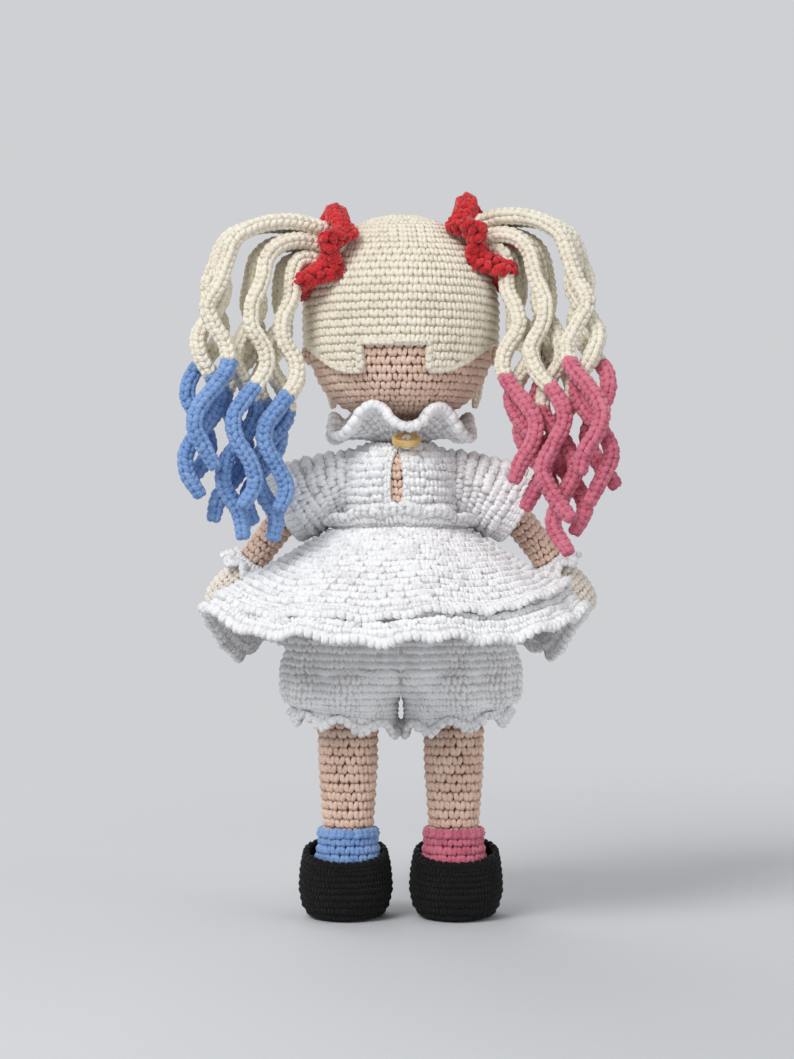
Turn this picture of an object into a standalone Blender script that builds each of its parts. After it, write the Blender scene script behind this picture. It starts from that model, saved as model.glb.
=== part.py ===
"""A standing crocheted doll with wavy pigtails, a ruffled dress, bloomers and slippers.

Metres, +Z up. The doll looks towards -Y and its left is at +X. The origin lies on the floor,
midway between the slippers. Stuffed covers are solid and crocheted cloth is a sheet.
"""

import math

import bmesh
import bpy
from mathutils import Matrix, Vector

# What every piece shares
GAP = 0.0003
OVERRUN = 0.01
WELD = 0.00001
STRAND_GAP = 0.0009
LEFT = 1
RIGHT = -1
SIDES = {"left": LEFT, "right": RIGHT}

# Heights, each counted from the one before it, from the floor up
SEAT_RISE = 0.098
WAIST_RISE = 0.052
ARM_RISE = 0.0228
NECK_FOOT_RISE = 0.0067
NECK_LENGTH = 0.0133
HEAD_DROP = 0.0393
SEAT_Z = SEAT_RISE
WAIST_Z = SEAT_Z + WAIST_RISE
ARM_Z = WAIST_Z + ARM_RISE
NECK_FOOT_Z = ARM_Z + NECK_FOOT_RISE
HEAD_FOOT_Z = NECK_FOOT_Z + NECK_LENGTH
HEAD_Z = HEAD_FOOT_Z + HEAD_DROP

# Head: a sphere above its widest line and a fuller curve below it
HEAD_RADIUS = 0.035
HEAD_FULL_SHARE = 2.9
HEAD_ROUND_SHARE = 2.0
HEAD_STEPS = 28
HEAD_ROWS = 15
NECK_SOCKET = 0.003
NOSE_RADIUS = 0.0022
NOSE_DROP = 0.0125
NOSE_SUNK_SHARE = 0.3

# Neck rod, which stiffens the neck
ROD_RADIUS = 0.003
ROD_IN_HEAD = 0.018
ROD_IN_TORSO = 0.03

# Torso
NECK_RADIUS = 0.008
CHEST_RADIUS = 0.0198
WAIST_RADIUS = 0.0187
HIP_RADIUS = 0.025
SHOULDER_DEPTH = 0.008
CHEST_DROP = 0.0068
HIP_RISE = 0.015
SEAT_ROUND = 0.006
TORSO_STEPS = 24
SHOULDER_SOCKET = 0.002
SHOULDER_ROWS = 4

# Ears and eyes
EAR_SIZE = Vector((0.0038, 0.003, 0.0038))
EAR_SUNK = 0.0007
EAR_REACH = HEAD_RADIUS - EAR_SUNK
EAR_DROP = 0.0158
EYE_RADIUS = 0.0043
EYE_HIGH_SHARE = 1.25
EYE_DOME = 0.0026
EYE_STEM_RADIUS = 0.0013
EYE_STEM_LENGTH = 0.008
EYE_APART = 0.014
EYE_DROP = 0.003
EYE_ROWS = 4

# Hair cap. Its hem is given for one side: degrees round from the back, and height over the head's centre
CAP_WALL = 0.002
CAP_TURN = math.radians(4)
CAP_EASE = 0.0003
CAP_ROWS = 9
CAP_STEP = 12
CAP_NOTCH_HEM = -0.013
CAP_PANEL_HEM = -0.0234
CAP_EAR_HEM = -0.0114
CAP_BROW_HEM = 0.0085
CAP_NOTCH_EDGE = 21
CAP_PANEL_EDGE = 22.2
CAP_HEM = [
    (0, CAP_NOTCH_HEM),
    (CAP_NOTCH_EDGE, CAP_NOTCH_HEM),
    (CAP_PANEL_EDGE, CAP_PANEL_HEM),
    (30, CAP_PANEL_HEM),
    (46, 0.4 * CAP_EAR_HEM + 0.6 * CAP_PANEL_HEM),
    (64, 0.75 * CAP_EAR_HEM + 0.25 * CAP_PANEL_HEM),
    (84, CAP_EAR_HEM),
    (114, CAP_EAR_HEM),
    (136, 0.5 * CAP_EAR_HEM + 0.5 * CAP_BROW_HEM),
    (158, CAP_BROW_HEM),
    (180, CAP_BROW_HEM),
]
CAP_OUTER = HEAD_RADIUS + GAP + CAP_EASE + CAP_WALL

# Locks that hang from the cap in front of the ears
LOCK_RADIUS = 0.0017
LOCK_TURN = 122
LOCK_EDGE_TURN = 3
LOCK_LENGTH = 0.026
LOCK_LEAN = 0.0045
LOCK_POINTS = 6

# Pigtails. Each side has its root seen from the head's centre, the pitch and yaw at which it leaves
# the cap, the reach of its inner, middle and outer strands, their falls, and how far they drift back
ROOT_STAND = 0.0007
ROOT_REACH = CAP_OUTER + ROOT_STAND
PIGTAILS = {
    "left": {
        "root": Vector((0.73, 0.36, 0.58)).normalized() * ROOT_REACH,
        "pitch": math.radians(25),
        "yaw": math.radians(22),
        "reach": (0.0165, 0.0285, 0.0428),
        "fall": (0.0905, 0.0955, 0.0855),
        "drift": 0.011,
    },
    "right": {
        "root": Vector((-0.74, 0.14, 0.66)).normalized() * ROOT_REACH,
        "pitch": math.radians(30),
        "yaw": math.radians(22),
        "reach": (0.0155, 0.0265, 0.0403),
        "fall": (0.082, 0.104, 0.091),
        "drift": 0.019,
    },
}
STRAND_RADIUS = 0.0027
STRAND_PITCH = 2 * STRAND_RADIUS + STRAND_GAP
LAYER_GAP = 0.0011
LAYER_PITCH = 2 * STRAND_RADIUS + LAYER_GAP
STRAND_WAVE = 0.0055
STRAND_LEAN_SHARE = 0.1
STRAND_WAVELENGTH = 0.044
STRAND_BEND = 0.013
STRAND_LEAD = 0.008
STRAND_LEAD_SHARE = 0.3
STRAND_LIFT_SHARE = 0.1
STRAND_START_SHARE = 0.2
LAYER_PHASES = [math.radians(angle) for angle in (20, 140, 265)]
LAYER_FALL_SHARES = (0.93, 1.0, 0.88)
DIP_SHARE = 0.47
ARCH_POINTS = 4
FALL_POINTS = 10
DRIFT_LENGTH = 0.08

# Scrunchies, one round each root
SCRUNCHIE_RING = 0.0168
SCRUNCHIE_RADIUS = 0.0034
SCRUNCHIE_HALF_WIDTH = 0.0042
SCRUNCHIE_STAND = 0.0012
SCRUNCHIE_RUFFLE = 0.0016
SCRUNCHIE_SWELL_SHARE = 0.25
SCRUNCHIE_WAVES = 6
SCRUNCHIE_COLUMNS = 30
SCRUNCHIE_ROWS = 5

# Arms, in the plane of the shoulders: each place is its reach from the side and its drop from the joint
ARM_LIFT = math.radians(-13)
ARM_ROOT_RADIUS = 0.0053
ARM_RADIUS = 0.0052
WRIST_RADIUS = 0.005
ARM_ROOT_X = CHEST_RADIUS - SHOULDER_SOCKET + GAP
ARM_PATH = [
    (0, 0),
    (0.0052, 0),
    (0.0105, 0.0022),
    (0.0175, 0.0092),
    (0.0276, 0.021),
    (0.0345, 0.0301),
    (0.0405, 0.039),
]
HAND_PATH = [ARM_PATH[-1], (0.0432, 0.0425), (0.0483, 0.0485), (0.0527, 0.0535), (0.0553, 0.0563)]
HAND_RADII = [WRIST_RADIUS, 0.0062, 0.0068, 0.0056, 0.0026]
ARM_SIDES = 12
CUFF_RADIUS = 0.0092
CUFF_WALL = 0.0012
CUFF_WAVE = 0.0011
CUFF_WAVES = 7
CUFF_COLUMNS = 28
CUFF_SLIDE = 0.003

# Sleeves
SLEEVE_WALL = 0.0018
SLEEVE_ROOT_RADIUS = 0.0108
SLEEVE_ROOT_DROP = 0.004
SLEEVE_MOUTH_RADIUS = 0.0142
SLEEVE_MOUTH_REACH = 0.0265
SLEEVE_MOUTH_DROP = 0.0158
SLEEVE_ROOT_PITCH = math.radians(-6)
SLEEVE_PITCH = math.radians(32)
SLEEVE_BEND_SHARE = 0.7
SLEEVE_FALL_POWER = 1.3
SLEEVE_COLUMNS = 20
SLEEVE_ROWS = 4

# Bodice, a sheet over the torso with a slit down the back
BODICE_WALL = 0.0018
BODICE_TOP = math.radians(76)
BODICE_STRAIGHT_SHARE = 0.4
BODICE_COLUMNS = 28
BODICE_ROWS = 6
SLIT_X = 0.0015
SLIT_WIDTH = 0.0022
SLIT_LENGTH = 0.0235
SLIT_FOOT = 0.0045
BODICE_OUTER = CHEST_RADIUS + GAP + BODICE_WALL

# Collar, a ruffle round the neck
COLLAR_WALL = 0.0016
COLLAR_FOOT_GAP = 0.0006
COLLAR_REACH = 0.0185
COLLAR_RISE = 0.0106
COLLAR_SIDE_RISE = 0.006
COLLAR_WAVE = 0.0047
COLLAR_SWAY_SHARE = 0.3
COLLAR_WAVE_POWER = 1.3
COLLAR_WAVES = 6
COLLAR_TURN = math.radians(-5)
COLLAR_COLUMNS = 48
COLLAR_ROWS = 4

# Button and the loop round its thread shank
BUTTON_X = -0.002
BUTTON_Y = 0.0178
BUTTON_RADIUS = 0.0055
BUTTON_THICK = 0.0028
BUTTON_RIM = 0.0006
BUTTON_SHANK_RADIUS = 0.0012
BUTTON_SHANK = 0.0017
BUTTON_TILT = math.radians(-20)
LOOP_RADIUS = 0.0022
LOOP_CORD = 0.0006
LOOP_COLUMNS = 12
LOOP_SIDES = 5

# Frill at the waist
WAIST_FRILL_WALL = 0.0014
WAIST_FRILL_REACH = 0.0075
WAIST_FRILL_SIDE_DROP = 0.0019
WAIST_FRILL_BACK_RISE = 0.0035
WAIST_FRILL_WAVE = 0.0017
WAIST_FRILL_SIDE_SHARE = 0.35
WAIST_FRILL_WAVES = 12
WAIST_FRILL_COLUMNS = 60

# Skirt
SKIRT_WALL = 0.0016
SKIRT_SIDE_RADIUS = 0.0717
SKIRT_SHIFT = 0.0027
SKIRT_BACK_RADIUS = 0.066
SKIRT_SIDE_DROP = 0.0235
SKIRT_BACK_DROP = 0.0355
SKIRT_FRONT_DROP = 0.0425
SKIRT_DOME_SHARE = 0.35
SKIRT_WAVE = 0.0032
SKIRT_WAVES = 10
SKIRT_COLUMNS = 60
SKIRT_ROWS = 6
ARM_VALLEY_DEPTH = 0.0165
ARM_VALLEY_TUCK = 0.0085
ARM_VALLEY_TURN = math.radians(-14)
ARM_VALLEY_WIDTH = math.radians(36)

# Frills on the skirt: the upper one stands off it, the other lengthens its hem
UPPER_FRILL_WALL = 0.0014
UPPER_FRILL_START_SHARE = 0.80
UPPER_FRILL_END_SHARE = 0.93
UPPER_FRILL_STAND = 0.0042
UPPER_FRILL_WAVE = 0.0014
HEM_FRILL_WALL = 0.0022
HEM_FRILL_LENGTH = 0.0045
HEM_FRILL_WAVE = 0.0013
FRILL_WAVES = 15
FRILL_COLUMNS = 60

# Legs
LEG_X = 0.0203
LEG_TOP_RADIUS = 0.0115
LEG_CALF_RADIUS = 0.0104
LEG_ANKLE_RADIUS = 0.0088
LEG_CALF_Z = 0.058
LEG_ANKLE_Z = 0.037
LEG_CROWN_SHARE = 0.7
LEG_STEPS = 20

# Bloomers
BLOOMER_WALL = 0.0016
BLOOMER_WAIST_DROP = 0.004
BLOOMER_HALF_WIDTH = 0.0436
BLOOMER_HALF_DEPTH = 0.0295
BLOOMER_WIDE_Z = 0.0962
BLOOMER_CROTCH_Z = 0.0855
BLOOMER_HEM_Z = 0.0805
BLOOMER_LEG_GAP = 0.0016
BLOOMER_HEM_TILT = 0.0025
BLOOMER_COLUMNS = 22
BLOOMER_PUFF_SHARE = 0.93
BLOOMER_PUFF_DEPTH_SHARE = 0.76
# Shares of the way out to the sides, out to the back and down to the widest ring
BLOOMER_UPPER_SHARES = [(0, 0, 0), (0.3, 0.4, 0.25), (0.72, 0.85, 0.6)]
# Shares of the way across to the leg's middle, of the depth, and of the way down to the crotch
BLOOMER_LEG_SHARES = [(0.12, 1, 0), (0.75, 0.97, 0.5), (1, 0.9, 1)]
BLOOMER_FRILL_WALL = 0.0013
BLOOMER_FRILL_FOOT = 0.0158
BLOOMER_FRILL_RADIUS = 0.0184
BLOOMER_FRILL_DROP = 0.0042
BLOOMER_FRILL_WAVE = 0.0012
BLOOMER_FRILL_WAVES = 9
BLOOMER_FRILL_COLUMNS = 36

# Slippers, insoles and socks
SHOE_X = 0.0213
SHOE_WALL = 0.002
SHOE_HALF_WIDTH = 0.0162
SHOE_HALF_LENGTH = 0.0225
SHOE_TOE = 0.0065
SHOE_RIM_RADIUS = 0.0148
SHOE_RIM_Z = 0.0255
SHOE_RIM_TILT = 0.0035
SHOE_COLUMNS = 24
SHOE_SOLE_ROWS = 3
# Shares of the half width, half length, toe shift, rim height and rim tilt, ring by ring
SHOE_SHARES = [
    (0, 0, 1, 0, 0),
    (0.8, 0.84, 1, 0, 0),
    (0.92, 0.93, 1, 0, 0),
    (1, 1, 1, 0.2, 0),
    (1, 0.98, 1, 0.48, 0.25),
    (0.97, 0.87, 0.7, 0.78, 0.5),
]
INSOLE_THICK = 0.0015
INSOLE_EDGE = 0.0035
SOCK_RADIUS = 0.0122
SOCK_TOP_Z = 0.036
SOCK_CUFF_RADIUS = 0.0106
SOCK_CUFF_HIGH = 0.0028
SOCK_DEPTH = 0.0135
FOOT_HALF_WIDTH = 0.0134
FOOT_HALF_LENGTH = 0.0193
SOCK_COLUMNS = 20
# Shares of the half width, half length, toe shift and ankle height, ring by ring
FOOT_SHARES = [(0, 0, 1, 0), (0.84, 0.88, 1, 0), (1, 1, 1, 0.25), (0.98, 0.92, 0.9, 0.6)]

SKIN = ((0.80, 0.55, 0.40), 0.85)
HAIR = ((0.83, 0.76, 0.60), 0.85)
WHITE = ((0.86, 0.86, 0.87), 0.85)
RED = ((0.62, 0.03, 0.05), 0.85)
BLUE = ((0.22, 0.38, 0.70), 0.85)
PINK = ((0.62, 0.13, 0.22), 0.85)
BLACK = ((0.012, 0.012, 0.014), 0.9)
CREAM = ((0.80, 0.78, 0.70), 0.85)
WOOD = ((0.76, 0.52, 0.18), 0.5)
EYE = ((0.01, 0.01, 0.012), 0.15)
BOARD = ((0.45, 0.36, 0.26), 0.9)
DIPS = {"left": BLUE, "right": PINK}


def clear_scene():
    for obj in list(bpy.data.objects):
        bpy.data.objects.remove(obj)


def collection(name):
    made = bpy.data.collections.new(name)
    bpy.context.scene.collection.children.link(made)
    return made


def material(name, look):
    colour, roughness = look
    made = bpy.data.materials.new(name)
    made.use_nodes = True
    shader = made.node_tree.nodes["Principled BSDF"]
    shader.inputs["Base Color"].default_value = (*colour, 1)
    shader.inputs["Roughness"].default_value = roughness
    shader.inputs["Metallic"].default_value = 0
    return made


def pivot(name, parent, place, turn=None):
    """An empty on a joint's axis, which carries the pieces that move there."""
    made = bpy.data.objects.new(name, None)
    DOLL.objects.link(made)
    made.parent = parent
    made.location = place
    made.rotation_euler = turn or (0, 0, 0)
    return made


def piece(name, shape, look, parent=None, place=(0, 0, 0)):
    """An object of the doll from a bmesh or a mesh."""
    mesh = shape
    if isinstance(shape, bmesh.types.BMesh):
        mesh = bpy.data.meshes.new(name)
        shape.to_mesh(mesh)
        shape.free()
    mesh.shade_smooth()
    mesh.set_sharp_from_angle(angle=math.radians(50))
    made = bpy.data.objects.new(name, mesh)
    made.data.materials.append(material(name, look))
    DOLL.objects.link(made)
    made.parent = parent
    made.location = place
    return made


def cutter(name, shape, parent=None, place=(0, 0, 0)):
    mesh = bpy.data.meshes.new(name)
    shape.to_mesh(mesh)
    shape.free()
    made = bpy.data.objects.new(name, mesh)
    CUTTERS.objects.link(made)
    made.parent = parent
    made.location = place
    made.hide_render = True
    made.display_type = "WIRE"
    return made


def combine(target, tool, operation="DIFFERENCE"):
    change = target.modifiers.new(tool.name, "BOOLEAN")
    change.operation = operation
    change.object = tool


def thicken(target, wall):
    change = target.modifiers.new("wall", "SOLIDIFY")
    change.thickness = wall
    change.offset = 0


def turned(name, outline, steps, look, parent=None, place=(0, 0, 0)):
    """A solid turned about its own Z axis from (radius, height) points, listed from the top down."""
    shape = bmesh.new()
    points = [shape.verts.new((radius, 0, height)) for radius, height in outline]
    for upper, lower in zip(points, points[1:]):
        shape.edges.new((upper, lower))
    made = piece(name, shape, look, parent, place)
    spin = made.modifiers.new("turn", "SCREW")
    spin.steps = steps
    spin.render_steps = steps
    spin.use_merge_vertices = True
    spin.merge_threshold = WELD
    spin.use_smooth_shade = True
    return made


def grid(columns, rows, bend):
    """A grid bent into shape by bend(around, along), each from 0 to 1, and welded where it meets itself."""
    shape = bmesh.new()
    bmesh.ops.create_grid(shape, x_segments=columns, y_segments=rows, size=0.5)
    for vert in shape.verts:
        vert.co = bend(vert.co.x + 0.5, vert.co.y + 0.5)
    bmesh.ops.remove_doubles(shape, verts=shape.verts, dist=WELD)
    bmesh.ops.recalc_face_normals(shape, faces=shape.faces)
    return shape


def rod_shape(radius, length, sides=16):
    """A cylinder that stands on its own origin."""
    shape = bmesh.new()
    bmesh.ops.create_cone(
        shape, cap_ends=True, segments=sides, radius1=radius, radius2=radius, depth=length
    )
    bmesh.ops.translate(shape, verts=shape.verts, vec=(0, 0, length / 2))
    return shape


def tube_mesh(name, points, radius):
    """A round tube along points, as a welded mesh."""
    curve = bpy.data.curves.new(name, "CURVE")
    curve.dimensions = "3D"
    curve.bevel_depth = radius
    curve.bevel_resolution = 1
    curve.use_fill_caps = True
    curve.twist_mode = "MINIMUM"
    line = curve.splines.new("POLY")
    line.points.add(len(points) - 1)
    for knot, point in zip(line.points, points):
        knot.co = (*point, 1)
    guide = bpy.data.objects.new(name, curve)
    CUTTERS.objects.link(guide)
    bpy.context.view_layer.update()
    evaluated = guide.evaluated_get(bpy.context.evaluated_depsgraph_get())
    mesh = bpy.data.meshes.new_from_object(evaluated)
    bpy.data.objects.remove(guide)
    shape = bmesh.new()
    shape.from_mesh(mesh)
    bpy.data.meshes.remove(mesh)
    bmesh.ops.remove_doubles(shape, verts=shape.verts, dist=WELD)
    return shape


def along(points, share):
    """The place at a share of the way through a list of rows, as numbers or vectors."""
    spot = share * (len(points) - 1)
    first = min(int(spot), len(points) - 2)
    part = spot - first
    return [a + (b - a) * part for a, b in zip(points[first], points[first + 1])]


def ease(share):
    """A smooth step from 0 to 1."""
    share = min(max(share, 0), 1)
    return share * share * (3 - 2 * share)


def wave(angle, count):
    return math.cos(count * angle)


def head_point(turn, fall, grow):
    """A point of the head grown outwards: turn is the angle from +X, fall the angle down from the crown."""
    radius = HEAD_RADIUS + grow
    if fall <= math.pi / 2:
        lift, high, power = radius * math.cos(fall), radius, HEAD_ROUND_SHARE
    else:
        lift, high, power = (HEAD_DROP + grow) * math.cos(fall), HEAD_DROP + grow, HEAD_FULL_SHARE
    inside = max(0.0, 1 - min(abs(lift) / high, 1) ** power)
    out = radius * inside ** (1 / power)
    return Vector((out * math.cos(turn), out * math.sin(turn), lift))


def head_fall(lift, grow):
    """The angle down from the crown at which the grown head has this height over its centre."""
    high = (HEAD_RADIUS if lift > 0 else HEAD_DROP) + grow
    return math.acos(lift / high)


def head_outline(grow):
    outline = [head_point(0, math.pi * row / HEAD_ROWS, grow) for row in range(HEAD_ROWS + 1)]
    outline[0].x = 0
    outline[-1].x = 0
    return [(point.x, point.z) for point in outline]


def make_head():
    head = turned("head", head_outline(0), HEAD_STEPS, SKIN, HEAD_PIVOT)
    nose = bmesh.new()
    bmesh.ops.create_uvsphere(nose, u_segments=10, v_segments=6, radius=NOSE_RADIUS)
    front = head_point(-math.pi / 2, head_fall(-NOSE_DROP, 0), -NOSE_RADIUS * NOSE_SUNK_SHARE)
    combine(head, cutter("nose_form", nose, HEAD_PIVOT, front), "UNION")
    socket = rod_shape(NECK_RADIUS + GAP, NECK_SOCKET + GAP + OVERRUN, TORSO_STEPS)
    combine(head, cutter("neck_socket", socket, HEAD_PIVOT, (0, 0, -HEAD_DROP - OVERRUN)))
    bore = rod_shape(ROD_RADIUS + GAP, ROD_IN_HEAD + GAP + OVERRUN)
    combine(head, cutter("head_rod_bore", bore, HEAD_PIVOT, (0, 0, -HEAD_DROP - OVERRUN)))
    return head


def make_ears():
    for side, sign in SIDES.items():
        shape = bmesh.new()
        bmesh.ops.create_uvsphere(shape, u_segments=10, v_segments=6, radius=1)
        bmesh.ops.scale(shape, verts=shape.verts, vec=EAR_SIZE)
        ear = piece(f"{side}_ear", shape, SKIN, HEAD_PIVOT, (sign * EAR_REACH, 0, -EAR_DROP))
        combine(ear, HEAD_CUTTER)


def make_eyes(head):
    fall = head_fall(-EYE_DROP, 0)
    girth = head_point(0, fall, 0).x
    dome = [
        (EYE_RADIUS * math.sin(angle), EYE_DOME * math.cos(angle))
        for angle in [math.pi / 2 * row / EYE_ROWS for row in range(EYE_ROWS + 1)]
    ]
    outline = [*dome, (EYE_STEM_RADIUS, 0), (EYE_STEM_RADIUS, -EYE_STEM_LENGTH), (0, -EYE_STEM_LENGTH)]
    outline[0] = (0, EYE_DOME)
    for side, sign in SIDES.items():
        turn = -math.acos(sign * EYE_APART / girth)
        seat = head_point(turn, fall, GAP)
        facing = Vector((0, 0, 1)).rotation_difference(seat.normalized())
        eye = turned(f"{side}_eye", outline, 12, EYE, HEAD_PIVOT, seat)
        bore = rod_shape(EYE_STEM_RADIUS * EYE_HIGH_SHARE + GAP, EYE_STEM_LENGTH + GAP + OVERRUN, 12)
        hole = cutter(f"{side}_eye_bore", bore, HEAD_PIVOT, seat)
        bottom = -EYE_STEM_LENGTH - GAP
        hole.data.transform(Matrix.Translation((0, 0, bottom)))
        for made in (eye, hole):
            made.rotation_euler = facing.to_euler()
        eye.scale = (1, EYE_HIGH_SHARE, 1)
        combine(head, hole)


def cap_columns():
    """(turn in radians from the back, hem height) for each column of the cap, all the way round."""
    half = []
    for (start, low), (end, high) in zip(CAP_HEM, CAP_HEM[1:]):
        steps = max(1, math.ceil((end - start) / CAP_STEP))
        shares = [i / steps for i in range(steps)]
        half += [(start + (end - start) * share, low + (high - low) * share) for share in shares]
    half.append(CAP_HEM[-1])
    whole = half + [(-angle, hem) for angle, hem in reversed(half[:-1])]
    return [(math.radians(angle), hem) for angle, hem in whole]


def make_hair_cap():
    columns = cap_columns()
    grow = GAP + CAP_EASE + CAP_WALL / 2

    def bend(around, along_hem):
        angle, hem = columns[round(around * (len(columns) - 1))]
        turn = math.pi / 2 - angle - CAP_TURN
        return head_point(turn, head_fall(hem, grow) * along_hem, grow)

    cap = piece("hair_cap", grid(len(columns) - 1, CAP_ROWS, bend), HAIR, HEAD_PIVOT)
    thicken(cap, CAP_WALL)


def cap_hem_at(degrees):
    """The height of the cap's hem at this many degrees round from the back."""
    for (start, low), (end, high) in zip(CAP_HEM, CAP_HEM[1:]):
        if start <= degrees <= end:
            return low + (high - low) * (degrees - start) / (end - start)
    return CAP_BROW_HEM


def make_locks():
    hem = cap_hem_at(LOCK_TURN - LOCK_EDGE_TURN) - GAP
    start = head_point(0, head_fall(hem, 0), GAP + CAP_EASE + LOCK_RADIUS)
    for side, sign in SIDES.items():
        turn = math.pi / 2 - sign * math.radians(LOCK_TURN) - CAP_TURN
        points = []
        for knot in range(LOCK_POINTS):
            share = knot / (LOCK_POINTS - 1)
            out = start.x - LOCK_LEAN * share
            points.append(Vector((out * math.cos(turn), out * math.sin(turn), hem - LOCK_LENGTH * share)))
        name = f"{side}_front_lock"
        piece(name, tube_mesh(name, points, LOCK_RADIUS), HAIR, HEAD_PIVOT)


def pigtail_frame(side):
    """The directions of a pigtail: out along its root, level within its plane, and across its layers."""
    sizes, sign = PIGTAILS[side], SIDES[side]
    level = Vector((sign * math.cos(sizes["yaw"]), math.sin(sizes["yaw"]), 0))
    across = Vector((-sign * math.sin(sizes["yaw"]), math.cos(sizes["yaw"]), 0))
    out = level * math.cos(sizes["pitch"]) + Vector((0, 0, math.sin(sizes["pitch"])))
    up = Vector((0, 0, math.cos(sizes["pitch"]))) - level * math.sin(sizes["pitch"])
    return out, up, level, across


def strand_points(side, column, layer):
    """A strand from the cap, over its arch and down its waves, seen from the head's centre."""
    sizes = PIGTAILS[side]
    out, up, level, across = pigtail_frame(side)
    root = sizes["root"] + across * (layer - 1) * LAYER_PITCH + up * (column - 1) * STRAND_PITCH
    tilt = math.sin(out.angle(root))
    away = CAP_OUTER + 2 * GAP + STRAND_RADIUS * tilt
    nearest = root.dot(out)
    sunk = nearest - math.sqrt(max(0.0, nearest**2 - root.length_squared + away**2))
    start = root - out * sunk
    reach = sizes["reach"][column]
    lead = root + out * (STRAND_LEAD + reach * STRAND_LEAD_SHARE)
    base = sizes["root"] + across * (layer - 1) * LAYER_PITCH + level * reach
    crest = Vector((base.x, base.y, root.z + reach * STRAND_LIFT_SHARE))
    top = Vector((base.x, base.y, root.z - STRAND_BEND))
    points = [start]
    for knot in range(1, ARCH_POINTS + 1):
        s = knot / ARCH_POINTS
        t = 1 - s
        points.append(root * t**3 + lead * (3 * t * t * s) + crest * (3 * t * s * s) + top * s**3)
    fall = sizes["fall"][column] * LAYER_FALL_SHARES[layer]
    for knot in range(1, FALL_POINTS + 1):
        share = knot / FALL_POINTS
        drop = fall * share
        low = sizes["root"].z - top.z + drop
        phase = 2 * math.pi * low / STRAND_WAVELENGTH + LAYER_PHASES[layer]
        swing = STRAND_WAVE * ease(share / STRAND_START_SHARE) * math.sin(phase)
        points.append(top + level * (swing + STRAND_LEAN_SHARE * drop) - Vector((0, 0, drop)))
    for point in points:
        point.y += sizes["drift"] * ease((sizes["root"].z - point.z) / DRIFT_LENGTH)
    return points


def near_points(points, steps=6):
    """Points close together along a line."""
    found = []
    for a, b in zip(points, points[1:]):
        found += [a.lerp(b, step / steps) for step in range(steps)]
    return found + [points[-1]]


def report_gaps(side, strands):
    """Prints the least gap between two strands of a pigtail, and between a strand and the cap."""
    lines = [near_points(points) for points in strands]
    pairs = [(one, other) for i, one in enumerate(lines) for other in lines[i + 1 :]]
    least = min((p - q).length for one, other in pairs for p in one for q in other)
    cap = min(p.length for one in lines for p in one[6:])
    print(side, "strands: least gap", round((least - 2 * STRAND_RADIUS) * 1000, 2), "mm")
    print(side, "strands: least gap to the cap", round((cap - STRAND_RADIUS - CAP_OUTER) * 1000, 2), "mm")


def make_pigtail(side):
    sizes = PIGTAILS[side]
    hinge = pivot(f"{side}_pigtail_pivot", HEAD_PIVOT, sizes["root"])
    strands = []
    for column in range(3):
        for layer in range(3):
            points = strand_points(side, column, layer)
            strands.append(points)
            name = f"{side}_curl_{3 * column + layer + 1}"
            shape = tube_mesh(name, [point - sizes["root"] for point in points], STRAND_RADIUS)
            curl = piece(name, shape, HAIR, hinge)
            curl.data.materials.append(material(f"{name}_dip", DIPS[side]))
            dip = points[-1].z + (points[0].z - points[-1].z) * DIP_SHARE - sizes["root"].z
            for face in curl.data.polygons:
                face.material_index = int(face.center.z < dip)
    report_gaps(side, strands)
    make_scrunchie(side, hinge)


def make_scrunchie(side, hinge):
    out, up, _, across = pigtail_frame(side)

    def bend(around, girth):
        angle, slope = 2 * math.pi * around, 2 * math.pi * girth
        radial = across * math.cos(angle) + up * math.sin(angle)
        ruffle = wave(angle, SCRUNCHIE_WAVES)
        size = SCRUNCHIE_RADIUS + SCRUNCHIE_RUFFLE * SCRUNCHIE_SWELL_SHARE * ruffle
        ring = SCRUNCHIE_RING + size * math.cos(slope)
        sway = SCRUNCHIE_RUFFLE * ruffle * max(0, math.cos(slope))
        stand = SCRUNCHIE_STAND + SCRUNCHIE_HALF_WIDTH * math.sin(slope) + sway
        return radial * ring + out * stand

    scrunchie = piece(f"{side}_scrunchie", grid(SCRUNCHIE_COLUMNS, SCRUNCHIE_ROWS, bend), RED, hinge)
    combine(scrunchie, CAP_CUTTER)


def torso_outline(grow):
    """(radius, height) from the neck down, grown outwards."""
    foot = NECK_FOOT_Z - SHOULDER_DEPTH
    half = CHEST_RADIUS - NECK_RADIUS
    top = HEAD_FOOT_Z + NECK_SOCKET - GAP + grow
    points = [(0, top), (NECK_RADIUS + grow, top)]
    for row in range(SHOULDER_ROWS + 1):
        angle = math.pi / 2 * (1 - row / SHOULDER_ROWS)
        out = NECK_RADIUS + (half + grow) * math.cos(angle)
        points.append((out, foot + (SHOULDER_DEPTH + grow) * math.sin(angle)))
    points[2] = (NECK_RADIUS + grow, points[2][1])
    points += [
        (WAIST_RADIUS + grow, WAIST_Z - BLOOMER_WAIST_DROP),
        ((WAIST_RADIUS + HIP_RADIUS) / 2 + grow, (WAIST_Z + SEAT_Z + HIP_RISE) / 2),
        (HIP_RADIUS + grow, SEAT_Z + HIP_RISE),
        (HIP_RADIUS - SEAT_ROUND / 3 + grow, SEAT_Z + SEAT_ROUND),
        (HIP_RADIUS - SEAT_ROUND + grow, SEAT_Z - grow),
        (0, SEAT_Z - grow),
    ]
    return points


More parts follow.
